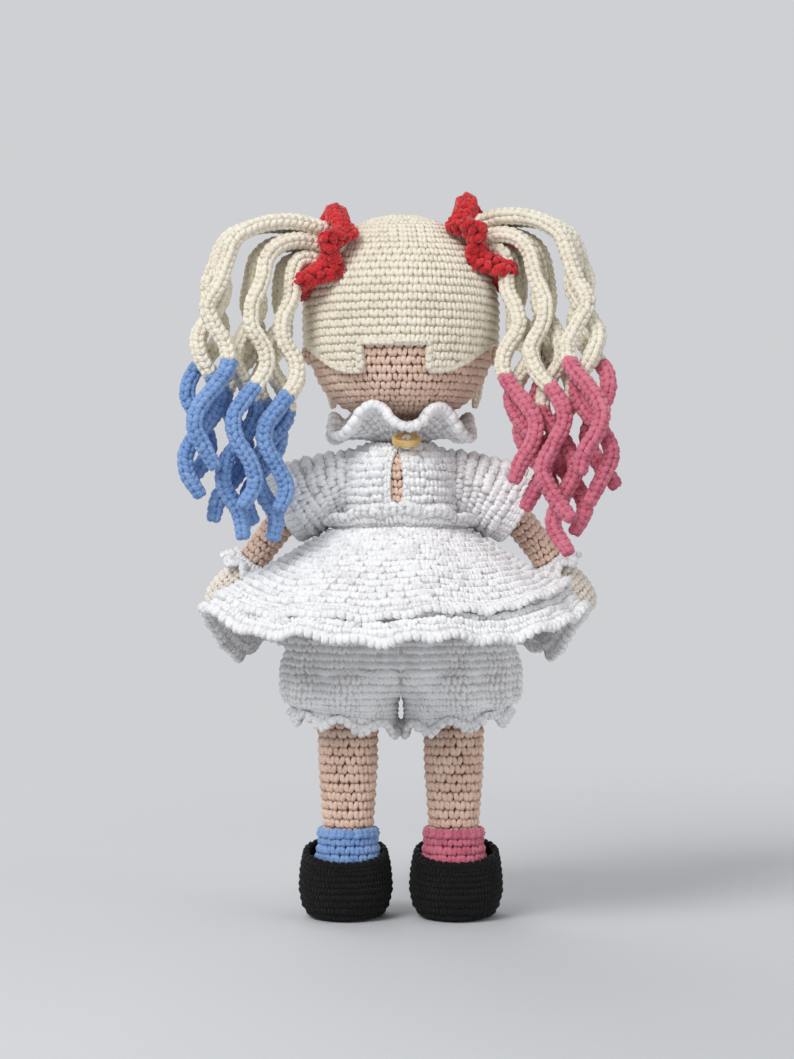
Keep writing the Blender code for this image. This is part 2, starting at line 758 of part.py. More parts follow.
def make_torso():
    torso = turned("torso", torso_outline(0), TORSO_STEPS, SKIN)
    bore = rod_shape(ROD_RADIUS + GAP, ROD_IN_TORSO + OVERRUN + GAP)
    bottom = HEAD_FOOT_Z - ROD_IN_TORSO - GAP
    combine(torso, cutter("torso_rod_bore", bore, None, (0, 0, bottom)))
    for side, sign in SIDES.items():
        socket = cutter(f"{side}_shoulder_socket", rod_shape(ARM_ROOT_RADIUS + GAP, OVERRUN), None)
        socket.location = (sign * (ARM_ROOT_X - GAP), 0, ARM_Z)
        socket.rotation_euler = (0, sign * math.pi / 2, 0)
        combine(torso, socket)


def make_neck_rod():
    shape = rod_shape(ROD_RADIUS, ROD_IN_TORSO + ROD_IN_HEAD, 12)
    piece("neck_rod", shape, WOOD, None, (0, 0, HEAD_FOOT_Z - ROD_IN_TORSO))


def bodice_point(share, grow):
    """(radius, height) on the torso's chest grown outwards: straight up, then over the shoulder."""
    foot = NECK_FOOT_Z - SHOULDER_DEPTH
    straight = BODICE_STRAIGHT_SHARE
    if share < straight:
        return CHEST_RADIUS + grow, WAIST_Z + (foot - WAIST_Z) * share / straight
    angle = BODICE_TOP * (share - straight) / (1 - straight)
    half = CHEST_RADIUS - NECK_RADIUS
    return NECK_RADIUS + (half + grow) * math.cos(angle), foot + (SHOULDER_DEPTH + grow) * math.sin(angle)


def make_bodice():
    def bend(around, rise):
        angle = 2 * math.pi * around
        radius, height = bodice_point(rise, GAP + BODICE_WALL / 2)
        return Vector((radius * math.cos(angle), radius * math.sin(angle), height))

    bodice = piece("bodice", grid(BODICE_COLUMNS, BODICE_ROWS, bend), WHITE)
    thicken(bodice, BODICE_WALL)
    slit = bmesh.new()
    bmesh.ops.create_cube(slit, size=1)
    bmesh.ops.scale(slit, verts=slit.verts, vec=(SLIT_WIDTH, HIP_RADIUS, SLIT_LENGTH))
    middle = WAIST_Z + SLIT_FOOT + SLIT_LENGTH / 2
    combine(bodice, cutter("back_slit", slit, None, (SLIT_X, HIP_RADIUS / 2 + NECK_RADIUS, middle)))
    for side, sign in SIDES.items():
        hole = cutter(f"{side}_armhole", rod_shape(ARM_ROOT_RADIUS + 2 * GAP, OVERRUN), None)
        hole.location = (sign * ARM_ROOT_X, 0, ARM_Z)
        hole.rotation_euler = (0, sign * math.pi / 2, 0)
        combine(bodice, hole)


def stuffed(path, radii, sides):
    """A closed limb: rings square to a path in the XZ plane, with a point at each end."""
    centres = [Vector((x, 0, z)) for x, z in path]

    def bend(around, share):
        row = round(share * (len(path) + 1)) - 1
        spot = min(max(row, 0), len(path) - 1)
        ahead = centres[min(spot + 1, len(path) - 1)] - centres[max(spot - 1, 0)]
        sideways = ahead.normalized().cross(Vector((0, 1, 0)))
        radius = radii[spot] if row == spot else 0
        angle = 2 * math.pi * around
        return centres[spot] + (Vector((0, 1, 0)) * math.cos(angle) + sideways * math.sin(angle)) * radius

    return grid(sides, len(path) + 1, bend)


def arm_place(sign, place):
    """A reach and a drop from the shoulder as a place beside the pivot, on this side."""
    reach, drop = place
    return sign * reach, -drop


def make_arm(side):
    sign = SIDES[side]
    shoulder = pivot(f"{side}_shoulder_pivot", None, (sign * ARM_ROOT_X, 0, ARM_Z), (ARM_LIFT, 0, 0))
    path = [arm_place(sign, place) for place in ARM_PATH]
    radii = [ARM_ROOT_RADIUS] * 2 + [ARM_RADIUS] * 3 + [WRIST_RADIUS] * 2
    piece(f"{side}_arm", stuffed(path, radii, ARM_SIDES), SKIN, shoulder)
    wrist = Vector((*ARM_PATH[-1], 0)) - Vector((*ARM_PATH[-2], 0))
    step = wrist.normalized() * GAP
    hand_path = [arm_place(sign, (reach + step.x, drop + step.y)) for reach, drop in HAND_PATH]
    piece(f"{side}_mitten", stuffed(hand_path, HAND_RADII, ARM_SIDES), CREAM, shoulder)
    make_cuff(side, shoulder, wrist.normalized())
    make_sleeve(side, shoulder)


def make_cuff(side, shoulder, wrist):
    """A ruffle round the wrist: a short tube that opens towards the hand."""
    sign = SIDES[side]
    forth = Vector((sign * wrist.x, 0, -wrist.y))
    sideways = forth.cross(Vector((0, 1, 0)))
    reach, drop = ARM_PATH[-1]
    end = Vector((sign * reach, 0, -drop))
    inner = WRIST_RADIUS + GAP + CUFF_WALL / 2

    def bend(around, share):
        angle = 2 * math.pi * around
        ruffle = wave(angle, CUFF_WAVES) * CUFF_WAVE * share
        radius = inner + (CUFF_RADIUS - inner) * share
        radial = Vector((0, 1, 0)) * math.cos(angle) + sideways * math.sin(angle)
        return end - forth * (CUFF_SLIDE * (1 - share / 2) - ruffle) + radial * (radius + ruffle / 2)

    cuff = piece(f"{side}_cuff_frill", grid(CUFF_COLUMNS, 1, bend), WHITE, shoulder)
    thicken(cuff, CUFF_WALL)


def make_sleeve(side, shoulder):
    """A wide sleeve, from a ring against the bodice to a mouth that faces down the arm."""
    sign = SIDES[side]
    start = BODICE_OUTER + 3 * GAP - ARM_ROOT_X

    def bend(around, share):
        angle = 2 * math.pi * around
        pitch = SLEEVE_ROOT_PITCH + (SLEEVE_PITCH - SLEEVE_ROOT_PITCH) * ease(share / SLEEVE_BEND_SHARE)
        reach = start + (SLEEVE_MOUTH_REACH + CHEST_RADIUS - ARM_ROOT_X - start) * share
        drop = SLEEVE_ROOT_DROP + (SLEEVE_MOUTH_DROP - SLEEVE_ROOT_DROP) * share**SLEEVE_FALL_POWER
        radius = SLEEVE_ROOT_RADIUS + (SLEEVE_MOUTH_RADIUS - SLEEVE_ROOT_RADIUS) * ease(share)
        lean = Vector((sign * math.sin(pitch), 0, math.cos(pitch)))
        radial = Vector((0, 1, 0)) * math.cos(angle) + lean * math.sin(angle)
        return Vector((sign * reach, 0, -drop)) + radial * radius

    sleeve = piece(f"{side}_sleeve", grid(SLEEVE_COLUMNS, SLEEVE_ROWS, bend), WHITE, shoulder)
    thicken(sleeve, SLEEVE_WALL)


def make_collar():
    inner = NECK_RADIUS + GAP + COLLAR_WALL / 2
    foot = NECK_FOOT_Z + GAP + BODICE_WALL + COLLAR_FOOT_GAP

    def bend(around, share):
        angle = 2 * math.pi * around
        lobe = -wave(angle - math.pi / 2 + COLLAR_TURN, COLLAR_WAVES)
        radius = inner + COLLAR_REACH * share - COLLAR_WAVE * COLLAR_SWAY_SHARE * lobe * share**2
        rise = COLLAR_SIDE_RISE + (COLLAR_RISE - COLLAR_SIDE_RISE) * math.sin(angle) ** 2
        height = foot + rise * math.sqrt(share) + COLLAR_WAVE * lobe * share**COLLAR_WAVE_POWER
        return Vector((radius * math.cos(angle), radius * math.sin(angle), height))

    collar = piece("collar", grid(COLLAR_COLUMNS, COLLAR_ROWS, bend), WHITE)
    thicken(collar, COLLAR_WALL)


def bodice_top_at(reach):
    """The height of the bodice's outside at this distance from the neck's axis."""
    grow = GAP + BODICE_WALL
    share = (reach - NECK_RADIUS) / (CHEST_RADIUS - NECK_RADIUS + grow)
    foot = NECK_FOOT_Z - SHOULDER_DEPTH
    return foot + (SHOULDER_DEPTH + grow) * math.sqrt(1 - share**2)


def make_button():
    foot = bodice_top_at(math.hypot(BUTTON_X, BUTTON_Y)) + GAP
    lean = Matrix.Rotation(BUTTON_TILT, 4, "X")
    dish = BUTTON_RADIUS - 2 * BUTTON_RIM
    top = BUTTON_SHANK + BUTTON_THICK
    outline = [
        (0, top - BUTTON_RIM),
        (dish, top - BUTTON_RIM),
        (BUTTON_RADIUS - BUTTON_RIM, top),
        (BUTTON_RADIUS, top - BUTTON_RIM),
        (BUTTON_RADIUS, BUTTON_SHANK + BUTTON_RIM),
        (BUTTON_RADIUS - BUTTON_RIM, BUTTON_SHANK),
        (BUTTON_SHANK_RADIUS, BUTTON_SHANK),
        (BUTTON_SHANK_RADIUS, 0),
        (0, 0),
    ]
    seat = Vector((BUTTON_X, BUTTON_Y, foot)) + lean @ Vector((0, 0, BUTTON_SHANK_RADIUS))
    button = turned("neck_button", outline, 16, WOOD, None, seat)
    button.rotation_euler = lean.to_euler()

    def bend(around, girth):
        angle, slope = 2 * math.pi * around, 2 * math.pi * girth
        out = LOOP_RADIUS + LOOP_CORD * math.cos(slope)
        return Vector((out * math.cos(angle), out * math.sin(angle), LOOP_CORD * math.sin(slope)))

    loop = piece("button_loop", grid(LOOP_COLUMNS, LOOP_SIDES, bend), WHITE)
    loop.location = seat + lean @ Vector((0, 0, BUTTON_SHANK - LOOP_CORD - GAP))
    loop.rotation_euler = lean.to_euler()


def arm_valley(angle):
    """How much of the skirt's fold under an arm there is at this angle, from 0 to 1."""
    best = 0
    for sign in SIDES.values():
        middle = ARM_VALLEY_TURN if sign == LEFT else math.pi - ARM_VALLEY_TURN
        off = abs(math.remainder(angle - middle, 2 * math.pi)) / ARM_VALLEY_WIDTH
        best = max(best, math.cos(math.pi / 2 * min(off, 1)) ** 2)
    return best


def skirt_point(angle, share, lift=0.0):
    """A place on the skirt from its waist, 0, to its hem, 1, stood off its surface by lift."""
    back = math.sin(angle) ** 2
    waist = BODICE_OUTER + GAP + SKIRT_WALL / 2
    side = SKIRT_SIDE_RADIUS + SKIRT_SHIFT * math.cos(angle)
    reach = side + (SKIRT_BACK_RADIUS - side) * back - waist
    low = SKIRT_BACK_DROP if math.sin(angle) > 0 else SKIRT_FRONT_DROP
    drop = SKIRT_SIDE_DROP + (low - SKIRT_SIDE_DROP) * back
    valley = arm_valley(angle)
    fold = wave(angle, SKIRT_WAVES) * SKIRT_WAVE * share**1.5 * (1 - valley)
    radius = waist + reach * share - ARM_VALLEY_TUCK * valley * share**2 + fold / 2
    fallen = share ** (1 + SKIRT_DOME_SHARE * back)
    height = WAIST_Z - SKIRT_WALL / 2 - drop * fallen - ARM_VALLEY_DEPTH * valley * share**1.5 + fold / 2
    slope = math.atan2(drop, reach)
    radius += lift * math.sin(slope)
    height += lift * math.cos(slope)
    return Vector((radius * math.cos(angle), radius * math.sin(angle), height))


def make_skirt():
    def bend(around, share):
        return skirt_point(2 * math.pi * around, share)

    skirt = piece("skirt", grid(SKIRT_COLUMNS, SKIRT_ROWS, bend), WHITE)
    thicken(skirt, SKIRT_WALL)


def make_skirt_frills():
    clear = (SKIRT_WALL + UPPER_FRILL_WALL) / 2 + 2 * GAP

    def bend_upper(around, share):
        angle = 2 * math.pi * around
        down = UPPER_FRILL_START_SHARE + (UPPER_FRILL_END_SHARE - UPPER_FRILL_START_SHARE) * share
        valley = arm_valley(angle)
        stand = (UPPER_FRILL_STAND + UPPER_FRILL_WAVE * wave(angle, FRILL_WAVES)) * share * (1 - valley)
        return skirt_point(angle, down, clear + stand)

    def bend_hem(around, share):
        angle = 2 * math.pi * around
        length = math.hypot(SKIRT_SIDE_RADIUS - BODICE_OUTER, SKIRT_SIDE_DROP)
        down = 1 + (GAP * 2 + HEM_FRILL_LENGTH * share) / length
        return skirt_point(angle, down, HEM_FRILL_WAVE * wave(angle, FRILL_WAVES) * share)

    upper = piece("skirt_frill", grid(FRILL_COLUMNS, 1, bend_upper), WHITE)
    thicken(upper, UPPER_FRILL_WALL)
    hem = piece("hem_frill", grid(FRILL_COLUMNS, 1, bend_hem), WHITE)
    thicken(hem, HEM_FRILL_WALL)


def make_waist_frill():
    start = BODICE_OUTER + GAP + WAIST_FRILL_WALL / 2
    foot = WAIST_Z + 2 * GAP + WAIST_FRILL_WALL / 2

    def bend(around, share):
        angle = 2 * math.pi * around
        back = math.sin(angle) ** 2
        depth = WAIST_FRILL_WAVE * (WAIST_FRILL_SIDE_SHARE + (1 - WAIST_FRILL_SIDE_SHARE) * back)
        rise = (WAIST_FRILL_SIDE_DROP + WAIST_FRILL_BACK_RISE) * back - WAIST_FRILL_SIDE_DROP
        height = foot + (rise + depth * wave(angle, WAIST_FRILL_WAVES)) * share
        radius = start + WAIST_FRILL_REACH * share
        return Vector((radius * math.cos(angle), radius * math.sin(angle), height))

    frill = piece("waist_frill", grid(WAIST_FRILL_COLUMNS, 1, bend), WHITE)
    thicken(frill, WAIST_FRILL_WALL)


def make_legs():
    top = SEAT_Z + SEAT_ROUND
    foot = SOCK_TOP_Z - SOCK_DEPTH + GAP
    outline = [
        (0, top),
        (LEG_TOP_RADIUS * LEG_CROWN_SHARE, top - SEAT_ROUND / 4),
        (LEG_TOP_RADIUS, top - SEAT_ROUND),
        ((LEG_TOP_RADIUS + LEG_CALF_RADIUS) / 2 - GAP, (top + LEG_CALF_Z) / 2),
        (LEG_CALF_RADIUS, LEG_CALF_Z),
        ((LEG_CALF_RADIUS + LEG_ANKLE_RADIUS) / 2, (LEG_CALF_Z + LEG_ANKLE_Z) / 2),
        (LEG_ANKLE_RADIUS, LEG_ANKLE_Z),
        (LEG_ANKLE_RADIUS, foot),
        (0, foot),
    ]
    for side, sign in SIDES.items():
        leg = turned(f"{side}_leg", outline, LEG_STEPS, SKIN, None, (sign * LEG_X, 0, 0))
        combine(leg, TORSO_CUTTER)


def ring_rows(rows, columns):
    """A closed solid or sheet from level rings: half width, half length, centre y, height and tilt."""

    def bend(around, share):
        wide, long, middle, height, tilt = along(rows, share)
        angle = 2 * math.pi * around
        rise = math.sin(angle)
        return Vector((wide * math.cos(angle), middle + long * rise, height - tilt * rise))

    return grid(columns, len(rows) - 1, bend)


def make_shoes():
    sizes = (SHOE_HALF_WIDTH, SHOE_HALF_LENGTH, -SHOE_TOE, SHOE_RIM_Z, SHOE_RIM_TILT)
    rows = [[size * share for size, share in zip(sizes, shares)] for shares in SHOE_SHARES]
    for row in rows[:SHOE_SOLE_ROWS]:
        row[3] = SHOE_WALL / 2
    rows.append([SHOE_RIM_RADIUS, SHOE_RIM_RADIUS, 0, SHOE_RIM_Z, SHOE_RIM_TILT])
    for side, sign in SIDES.items():
        place = (sign * SHOE_X, 0, 0)
        shoe = piece(f"{side}_shoe", ring_rows(rows, SHOE_COLUMNS), BLACK, None, place)
        thicken(shoe, SHOE_WALL)
        make_insole(side, place)
        make_sock(side, place)


def make_insole(side, place):
    floor = SHOE_WALL + GAP
    wide, long = SHOE_HALF_WIDTH - INSOLE_EDGE, SHOE_HALF_LENGTH - INSOLE_EDGE
    shape = rod_shape(1, INSOLE_THICK, SOCK_COLUMNS)
    bmesh.ops.scale(shape, verts=shape.verts, vec=(wide, long, 1))
    bmesh.ops.translate(shape, verts=shape.verts, vec=(0, -SHOE_TOE, floor))
    piece(f"{side}_insole", shape, BOARD, None, place)


def make_sock(side, place):
    """A stuffed foot and the cuff round the ankle, with a socket for the leg."""
    floor = SHOE_WALL + 2 * GAP + INSOLE_THICK
    shift = LEG_X - SHOE_X
    bore = LEG_ANKLE_RADIUS + GAP
    bottom = SOCK_TOP_Z - SOCK_DEPTH
    cuff = SOCK_TOP_Z - SOCK_CUFF_HIGH
    ankle = SHOE_RIM_Z - SHOE_RIM_TILT
    rows = []
    for wide, long, toe, rise in FOOT_SHARES:
        height = floor + (ankle - floor) * rise
        rows.append((FOOT_HALF_WIDTH * wide, FOOT_HALF_LENGTH * long, -SHOE_TOE * toe, height, 0))
    round_rows = [
        (SOCK_RADIUS, ankle),
        ((SOCK_RADIUS + SOCK_CUFF_RADIUS) / 2 - GAP, (ankle + cuff) / 2),
        (SOCK_CUFF_RADIUS - GAP, cuff),
        (SOCK_CUFF_RADIUS, (cuff + SOCK_TOP_Z) / 2),
        ((SOCK_CUFF_RADIUS + bore) / 2, SOCK_TOP_Z),
        (bore, (cuff + SOCK_TOP_Z) / 2),
        (bore, bottom),
        (0, bottom),
    ]
    rows += [(radius, radius, 0, height, 0) for radius, height in round_rows]
    shape = ring_rows(rows, SOCK_COLUMNS)
    sock = piece(f"{side}_sock", shape, DIPS[side], None, place)
    sign = SIDES[side]
    for vert in sock.data.vertices:
        if vert.co.z >= ankle:
            vert.co.x += sign * shift


def bloomer_rows():
    """Level rings of one half: centre x, half width, half depth, height and tilt, from the waist down."""
    leg_half = (BLOOMER_HALF_WIDTH - BLOOMER_LEG_GAP) / 2
    leg_middle = BLOOMER_HALF_WIDTH - leg_half
    waist = WAIST_RADIUS + GAP * 3 + BLOOMER_WALL / 2
    top = WAIST_Z - BLOOMER_WAIST_DROP
    gather = BLOOMER_FRILL_FOOT
    wide, deep = BLOOMER_HALF_WIDTH, BLOOMER_HALF_DEPTH
    rows = []
    for out, back, down in BLOOMER_UPPER_SHARES:
        half, depth = waist + (wide - waist) * out, waist + (deep - waist) * back
        rows.append((0, half, depth, top + (BLOOMER_WIDE_Z - top) * down, 0))
    for middle, depth, down in BLOOMER_LEG_SHARES:
        height = BLOOMER_WIDE_Z + (BLOOMER_CROTCH_Z - BLOOMER_WIDE_Z) * down
        rows.append((leg_middle * middle, wide - leg_middle * middle, deep * depth, height, 0))
    low = (BLOOMER_CROTCH_Z + BLOOMER_HEM_Z) / 2
    puff, depth = leg_half * BLOOMER_PUFF_SHARE, deep * BLOOMER_PUFF_DEPTH_SHARE
    rows.append((leg_middle, puff, depth, low, BLOOMER_HEM_TILT / 2))
    rows.append((LEG_X, gather, gather, BLOOMER_HEM_Z, BLOOMER_HEM_TILT))
    return rows


def make_bloomers():
    rows = bloomer_rows()

    def bend(around, share):
        middle, wide, deep, height, tilt = along(rows, share)
        angle = 2 * math.pi * around
        x = max(0, middle + wide * math.cos(angle))
        return Vector((x, deep * math.sin(angle), height + tilt * math.cos(angle)))

    shape = grid(BLOOMER_COLUMNS, len(rows) - 1, bend)
    on_plane = [face for face in shape.faces if all(vert.co.x < WELD for vert in face.verts)]
    bmesh.ops.delete(shape, geom=on_plane, context="FACES")
    bloomers = piece("bloomers", shape, WHITE)
    mirror = bloomers.modifiers.new("right half", "MIRROR")
    mirror.merge_threshold = WELD
    thicken(bloomers, BLOOMER_WALL)


def make_bloomer_frills():
    start = BLOOMER_FRILL_FOOT
    top = BLOOMER_HEM_Z - GAP - (BLOOMER_WALL + BLOOMER_FRILL_WALL) / 2
    for side, sign in SIDES.items():

        def bend(around, share):
            angle = 2 * math.pi * around
            ruffle = wave(angle, BLOOMER_FRILL_WAVES) * BLOOMER_FRILL_WAVE * share
            radius = start + (BLOOMER_FRILL_RADIUS - start) * share + ruffle / 2
            height = top + BLOOMER_HEM_TILT * math.cos(angle) - BLOOMER_FRILL_DROP * share + ruffle
            return Vector((sign * radius * math.cos(angle), radius * math.sin(angle), height))

        shape = grid(BLOOMER_FRILL_COLUMNS, 1, bend)
        frill = piece(f"{side}_bloomer_frill", shape, WHITE, None, (sign * LEG_X, 0, 0))
        thicken(frill, BLOOMER_FRILL_WALL)


def turned_cutter(name, outline, steps, parent=None):
    """A turned solid that only cuts."""
    made = turned(name, outline, steps, SKIN, parent)
    DOLL.objects.unlink(made)
    CUTTERS.objects.link(made)
    made.hide_render = True
    made.display_type = "WIRE"
    return made


clear_scene()
DOLL = collection("amigurumi_doll")
CUTTERS = collection("cutters")
HEAD_PIVOT = pivot("head_pivot", None, (0, 0, HEAD_Z))
HEAD_CUTTER = turned_cutter("head_space", head_outline(GAP), HEAD_STEPS, HEAD_PIVOT)
CAP_SPACE = head_outline(CAP_OUTER + 2 * GAP - HEAD_RADIUS)
CAP_CUTTER = turned_cutter("cap_space", CAP_SPACE, HEAD_STEPS, HEAD_PIVOT)
TORSO_CUTTER = turned_cutter("torso_space", torso_outline(GAP), TORSO_STEPS)
make_eyes(make_head())
make_ears()
make_hair_cap()
make_locks()
make_torso()
make_neck_rod()
make_bodice()
make_collar()
make_button()
make_waist_frill()
make_skirt()
make_skirt_frills()
make_bloomers()
make_bloomer_frills()
make_legs()
make_shoes()
for name in SIDES:
    make_pigtail(name)
    make_arm(name)
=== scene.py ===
"""The looks of a standing crocheted doll: every cover is worked stitch by stitch over its form.

Metres, +Z up. The doll looks towards -Y, and the photograph sees its back from +Y.
"""

import math

import bpy
import numpy as np
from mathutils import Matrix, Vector


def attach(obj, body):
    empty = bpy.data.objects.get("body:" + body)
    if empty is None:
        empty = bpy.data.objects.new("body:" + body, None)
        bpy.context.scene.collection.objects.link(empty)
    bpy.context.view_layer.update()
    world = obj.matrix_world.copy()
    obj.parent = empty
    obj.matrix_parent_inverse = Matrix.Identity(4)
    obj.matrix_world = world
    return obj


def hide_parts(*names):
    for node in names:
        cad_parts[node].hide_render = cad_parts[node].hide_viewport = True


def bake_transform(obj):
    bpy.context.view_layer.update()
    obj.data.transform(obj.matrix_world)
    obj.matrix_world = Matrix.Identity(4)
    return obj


TAU = 2 * math.pi
SIDES = {"left": 1, "right": -1}
GAP = 0.0003
SEED = 7

# Camera: its place, and the photograph's focal length and height in pixels
CAMERA_X = 0.0015
CAMERA_Y = 1.05
CAMERA_Z = 0.1492
FOCAL_PIXELS = 2734
PHOTO_HEIGHT = 1059
SENSOR = 24

# Heights of the doll
SEAT_Z = 0.098
WAIST_Z = 0.150
ARM_Z = 0.1728
NECK_FOOT_Z = 0.1795
HEAD_FOOT_Z = 0.1928
HEAD_DROP = 0.0393
HEAD_Z = HEAD_FOOT_Z + HEAD_DROP

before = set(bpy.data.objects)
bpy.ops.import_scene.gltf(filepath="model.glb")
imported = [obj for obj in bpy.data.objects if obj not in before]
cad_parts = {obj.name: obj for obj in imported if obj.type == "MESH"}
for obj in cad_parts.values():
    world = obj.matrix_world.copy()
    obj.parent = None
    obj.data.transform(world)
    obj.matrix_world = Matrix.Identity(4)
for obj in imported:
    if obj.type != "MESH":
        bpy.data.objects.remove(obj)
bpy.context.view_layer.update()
rng = np.random.default_rng(SEED)


# Colours


def colour(red, green, blue):
    """A screen colour from 0 to 255 as linear light."""
    shares = [channel / 255 for channel in (red, green, blue)]
    return tuple(s / 12.92 if s < 0.04045 else ((s + 0.055) / 1.055) ** 2.4 for s in shares)


# Each yarn's body, the painted shade between its stitches, and the painted highlight on its crests
PALETTE = {
    "skin": ((233, 202, 181), (166, 120, 98), (244, 220, 204)),
    "hair": ((240, 232, 213), (180, 165, 136), (249, 244, 230)),
    "white": ((247, 247, 248), (184, 178, 174), (253, 253, 254)),
    "red": ((205, 38, 44), (88, 8, 14), (226, 66, 66)),
    "blue": ((124, 160, 212), (50, 80, 142), (152, 184, 226)),
    "pink": ((214, 112, 134), (128, 44, 68), (228, 142, 160)),
    "black": ((15, 15, 17), (4, 4, 5), (27, 27, 30)),
    "cream": ((240, 231, 217), (182, 164, 146), (249, 243, 234)),
}
BLUSHES = {"skin": colour(228, 128, 122)}
SHEEN = 0.35
SHEENS = {"white": 0.45, "black": 0.06}
WOOD_DARK = (*colour(206, 160, 84), 1)
WOOD_PALE = (*colour(236, 204, 138), 1)
EYE_BLACK = colour(12, 12, 14)
EYE_PALE = 1.6


# Materials

# Scales are in cells to a metre, and bumps in metres
YARN_PLY = 0.0013
FIBRE_SCALE = 2600.0
PATCH_SCALE = 70.0
# The ply twist is also painted into the colour, as shade in the grooves between plies
TWIST_SHADE = 0.09
GRAIN_TONE = 0.3
# Where the ramp holds the painted shade between stitches, and the yarn's body
SHADE_STOP = 0.05
BODY_STOP = 0.55
YARN_BUMP = 0.0003
GRAIN_SCALE = 40.0
PORE_SCALE = 2400.0
PORE_BUMP = 0.0001
RIPPLE_SCALE = 300.0
RIPPLE_BUMP = 0.0002


class Nodes:
    """The nodes of a new material."""

    def __init__(self, name):
        self.made = bpy.data.materials.new(name)
        self.made.use_nodes = True
        self.tree = self.made.node_tree
        self.shader = self.tree.nodes["Principled BSDF"]

    def add(self, kind, inputs=(), **settings):
        node = self.tree.nodes.new(kind)
        for key, value in settings.items():
            setattr(node, key, value)
        for key, value in dict(inputs).items():
            self.feed(node.inputs[key], value)
        return node

    def feed(self, socket, value):
        if isinstance(value, bpy.types.NodeSocket):
            self.tree.links.new(value, socket)
        else:
            socket.default_value = value

    def math(self, operation, a, b=0.0, c=0.0):
        inputs = {0: a, 1: b, 2: c}
        return self.add("ShaderNodeMath", inputs, operation=operation).outputs[0]

    def mix(self, share, a, b):
        return self.add("ShaderNodeMix", {0: share, 6: a, 7: b}, data_type="RGBA").outputs[2]

    def noise(self, scale, detail):
        inputs = {"Scale": scale, "Detail": detail, "Vector": self.place()}
        return self.add("ShaderNodeTexNoise", inputs).outputs["Fac"]

    def place(self):
        return self.add("ShaderNodeTexCoord").outputs["Object"]

    def attribute(self, name, output="Fac"):
        return self.add("ShaderNodeAttribute", attribute_name=name).outputs[output]

    def bumped(self, height, distance, strength):
        """Gives the shader a bump, and returns the material."""
        inputs = {"Strength": strength, "Distance": distance, "Height": height}
        self.feed(self.shader.inputs["Normal"], self.add("ShaderNodeBump", inputs).outputs[0])
        return self.made


def yarn(name, body, crevice_shade, light, sheen, blush):
    """Crochet yarn: plied strands, with painted shade between the stitches and a painted highlight on their
    crests.
    """
    n = Nodes(name)
    strand = n.add("ShaderNodeSeparateXYZ", {0: n.attribute("ply", "Vector")})
    turn = n.math("MULTIPLY", strand.outputs[0], TAU / YARN_PLY)
    across = n.math("MULTIPLY", n.math("SINE", turn), strand.outputs[1])
    along = n.math("MULTIPLY", n.math("COSINE", turn), strand.outputs[2])
    twist = n.math("ADD", across, along)
    fibre, patch = n.noise(FIBRE_SCALE, 4.0), n.noise(PATCH_SCALE, 2.0)
    # The attribute read here holds a random tone for each stitch, painted shade on buried leg ends and
    # linings, and a painted highlight on crests
    tone = n.math("ADD", n.attribute("tone"), n.math("MULTIPLY", twist, TWIST_SHADE))
    for grain in (fibre, patch):
        tone = n.math("ADD", tone, n.math("MULTIPLY_ADD", grain, GRAIN_TONE, -GRAIN_TONE / 2))
    # From painted shade in the gaps, through the body, to a painted highlight on the crests
    ramp = n.add("ShaderNodeValToRGB", {0: tone})
    stops = ramp.color_ramp.elements
    stops[0].position, stops[0].color = SHADE_STOP, (*crevice_shade, 1)
    stops[1].position, stops[1].color = BODY_STOP, (*body, 1)
    stops.new(1.0).color = (*light, 1)
    shade = ramp.outputs[0]
    if blush:
        shade = n.mix(n.attribute("blush"), shade, (*blush, 1))
    n.feed(n.shader.inputs["Base Color"], shade)
    n.shader.inputs["Roughness"].default_value = 0.85
    n.shader.inputs["Specular IOR Level"].default_value = 0.25
    n.shader.inputs["Sheen Weight"].default_value = sheen
    n.shader.inputs["Sheen Roughness"].default_value = 0.45
    height = n.math("ADD", n.math("MULTIPLY", twist, 0.5), n.math("MULTIPLY", fibre, 0.8))
    return n.bumped(height, YARN_BUMP, 0.5)


def wood(name):
    """Turned boxwood: rings and fine pores under a thin varnish."""
    n = Nodes(name)
    inputs = {"Vector": n.place(), "Scale": GRAIN_SCALE, "Distortion": 5.0, "Detail": 2.0}
    grain = n.add("ShaderNodeTexWave", inputs).outputs["Fac"]
    pores = n.noise(PORE_SCALE, 3.0)
    share = n.math("ADD", n.math("MULTIPLY", grain, 0.6), n.math("MULTIPLY", pores, 0.4))
    n.feed(n.shader.inputs["Base Color"], n.mix(share, WOOD_DARK, WOOD_PALE))
    n.feed(n.shader.inputs["Roughness"], n.math("MULTIPLY_ADD", pores, 0.25, 0.3))
    n.shader.inputs["Coat Weight"].default_value = 0.3
    n.shader.inputs["Coat Roughness"].default_value = 0.25
    return n.bumped(pores, PORE_BUMP, 0.08)


def plastic(name, body):
    """Glossy safety-eye plastic with faint moulding ripple."""
    n = Nodes(name)
    ripple = n.noise(RIPPLE_SCALE, 2.0)
    n.feed(n.shader.inputs["Base Color"], n.mix(ripple, (*body, 1), (*(c * EYE_PALE for c in body), 1)))
    n.feed(n.shader.inputs["Roughness"], n.math("MULTIPLY_ADD", ripple, 0.1, 0.06))
    n.shader.inputs["Coat Weight"].default_value = 0.5
    return n.bumped(ripple, RIPPLE_BUMP, 0.03)


MATERIALS = {
    "wood": wood("button_wood"), "board": wood("insole_board"), "eye": plastic("eye_plastic", EYE_BLACK),
}
for slot, shades in PALETTE.items():
    body, crevice_shade, light = (colour(*shade) for shade in shades)
    MATERIALS[slot] = yarn(f"{slot}_yarn", body, crevice_shade, light, SHEENS.get(slot, SHEEN), BLUSHES.get(slot))


# Surfaces

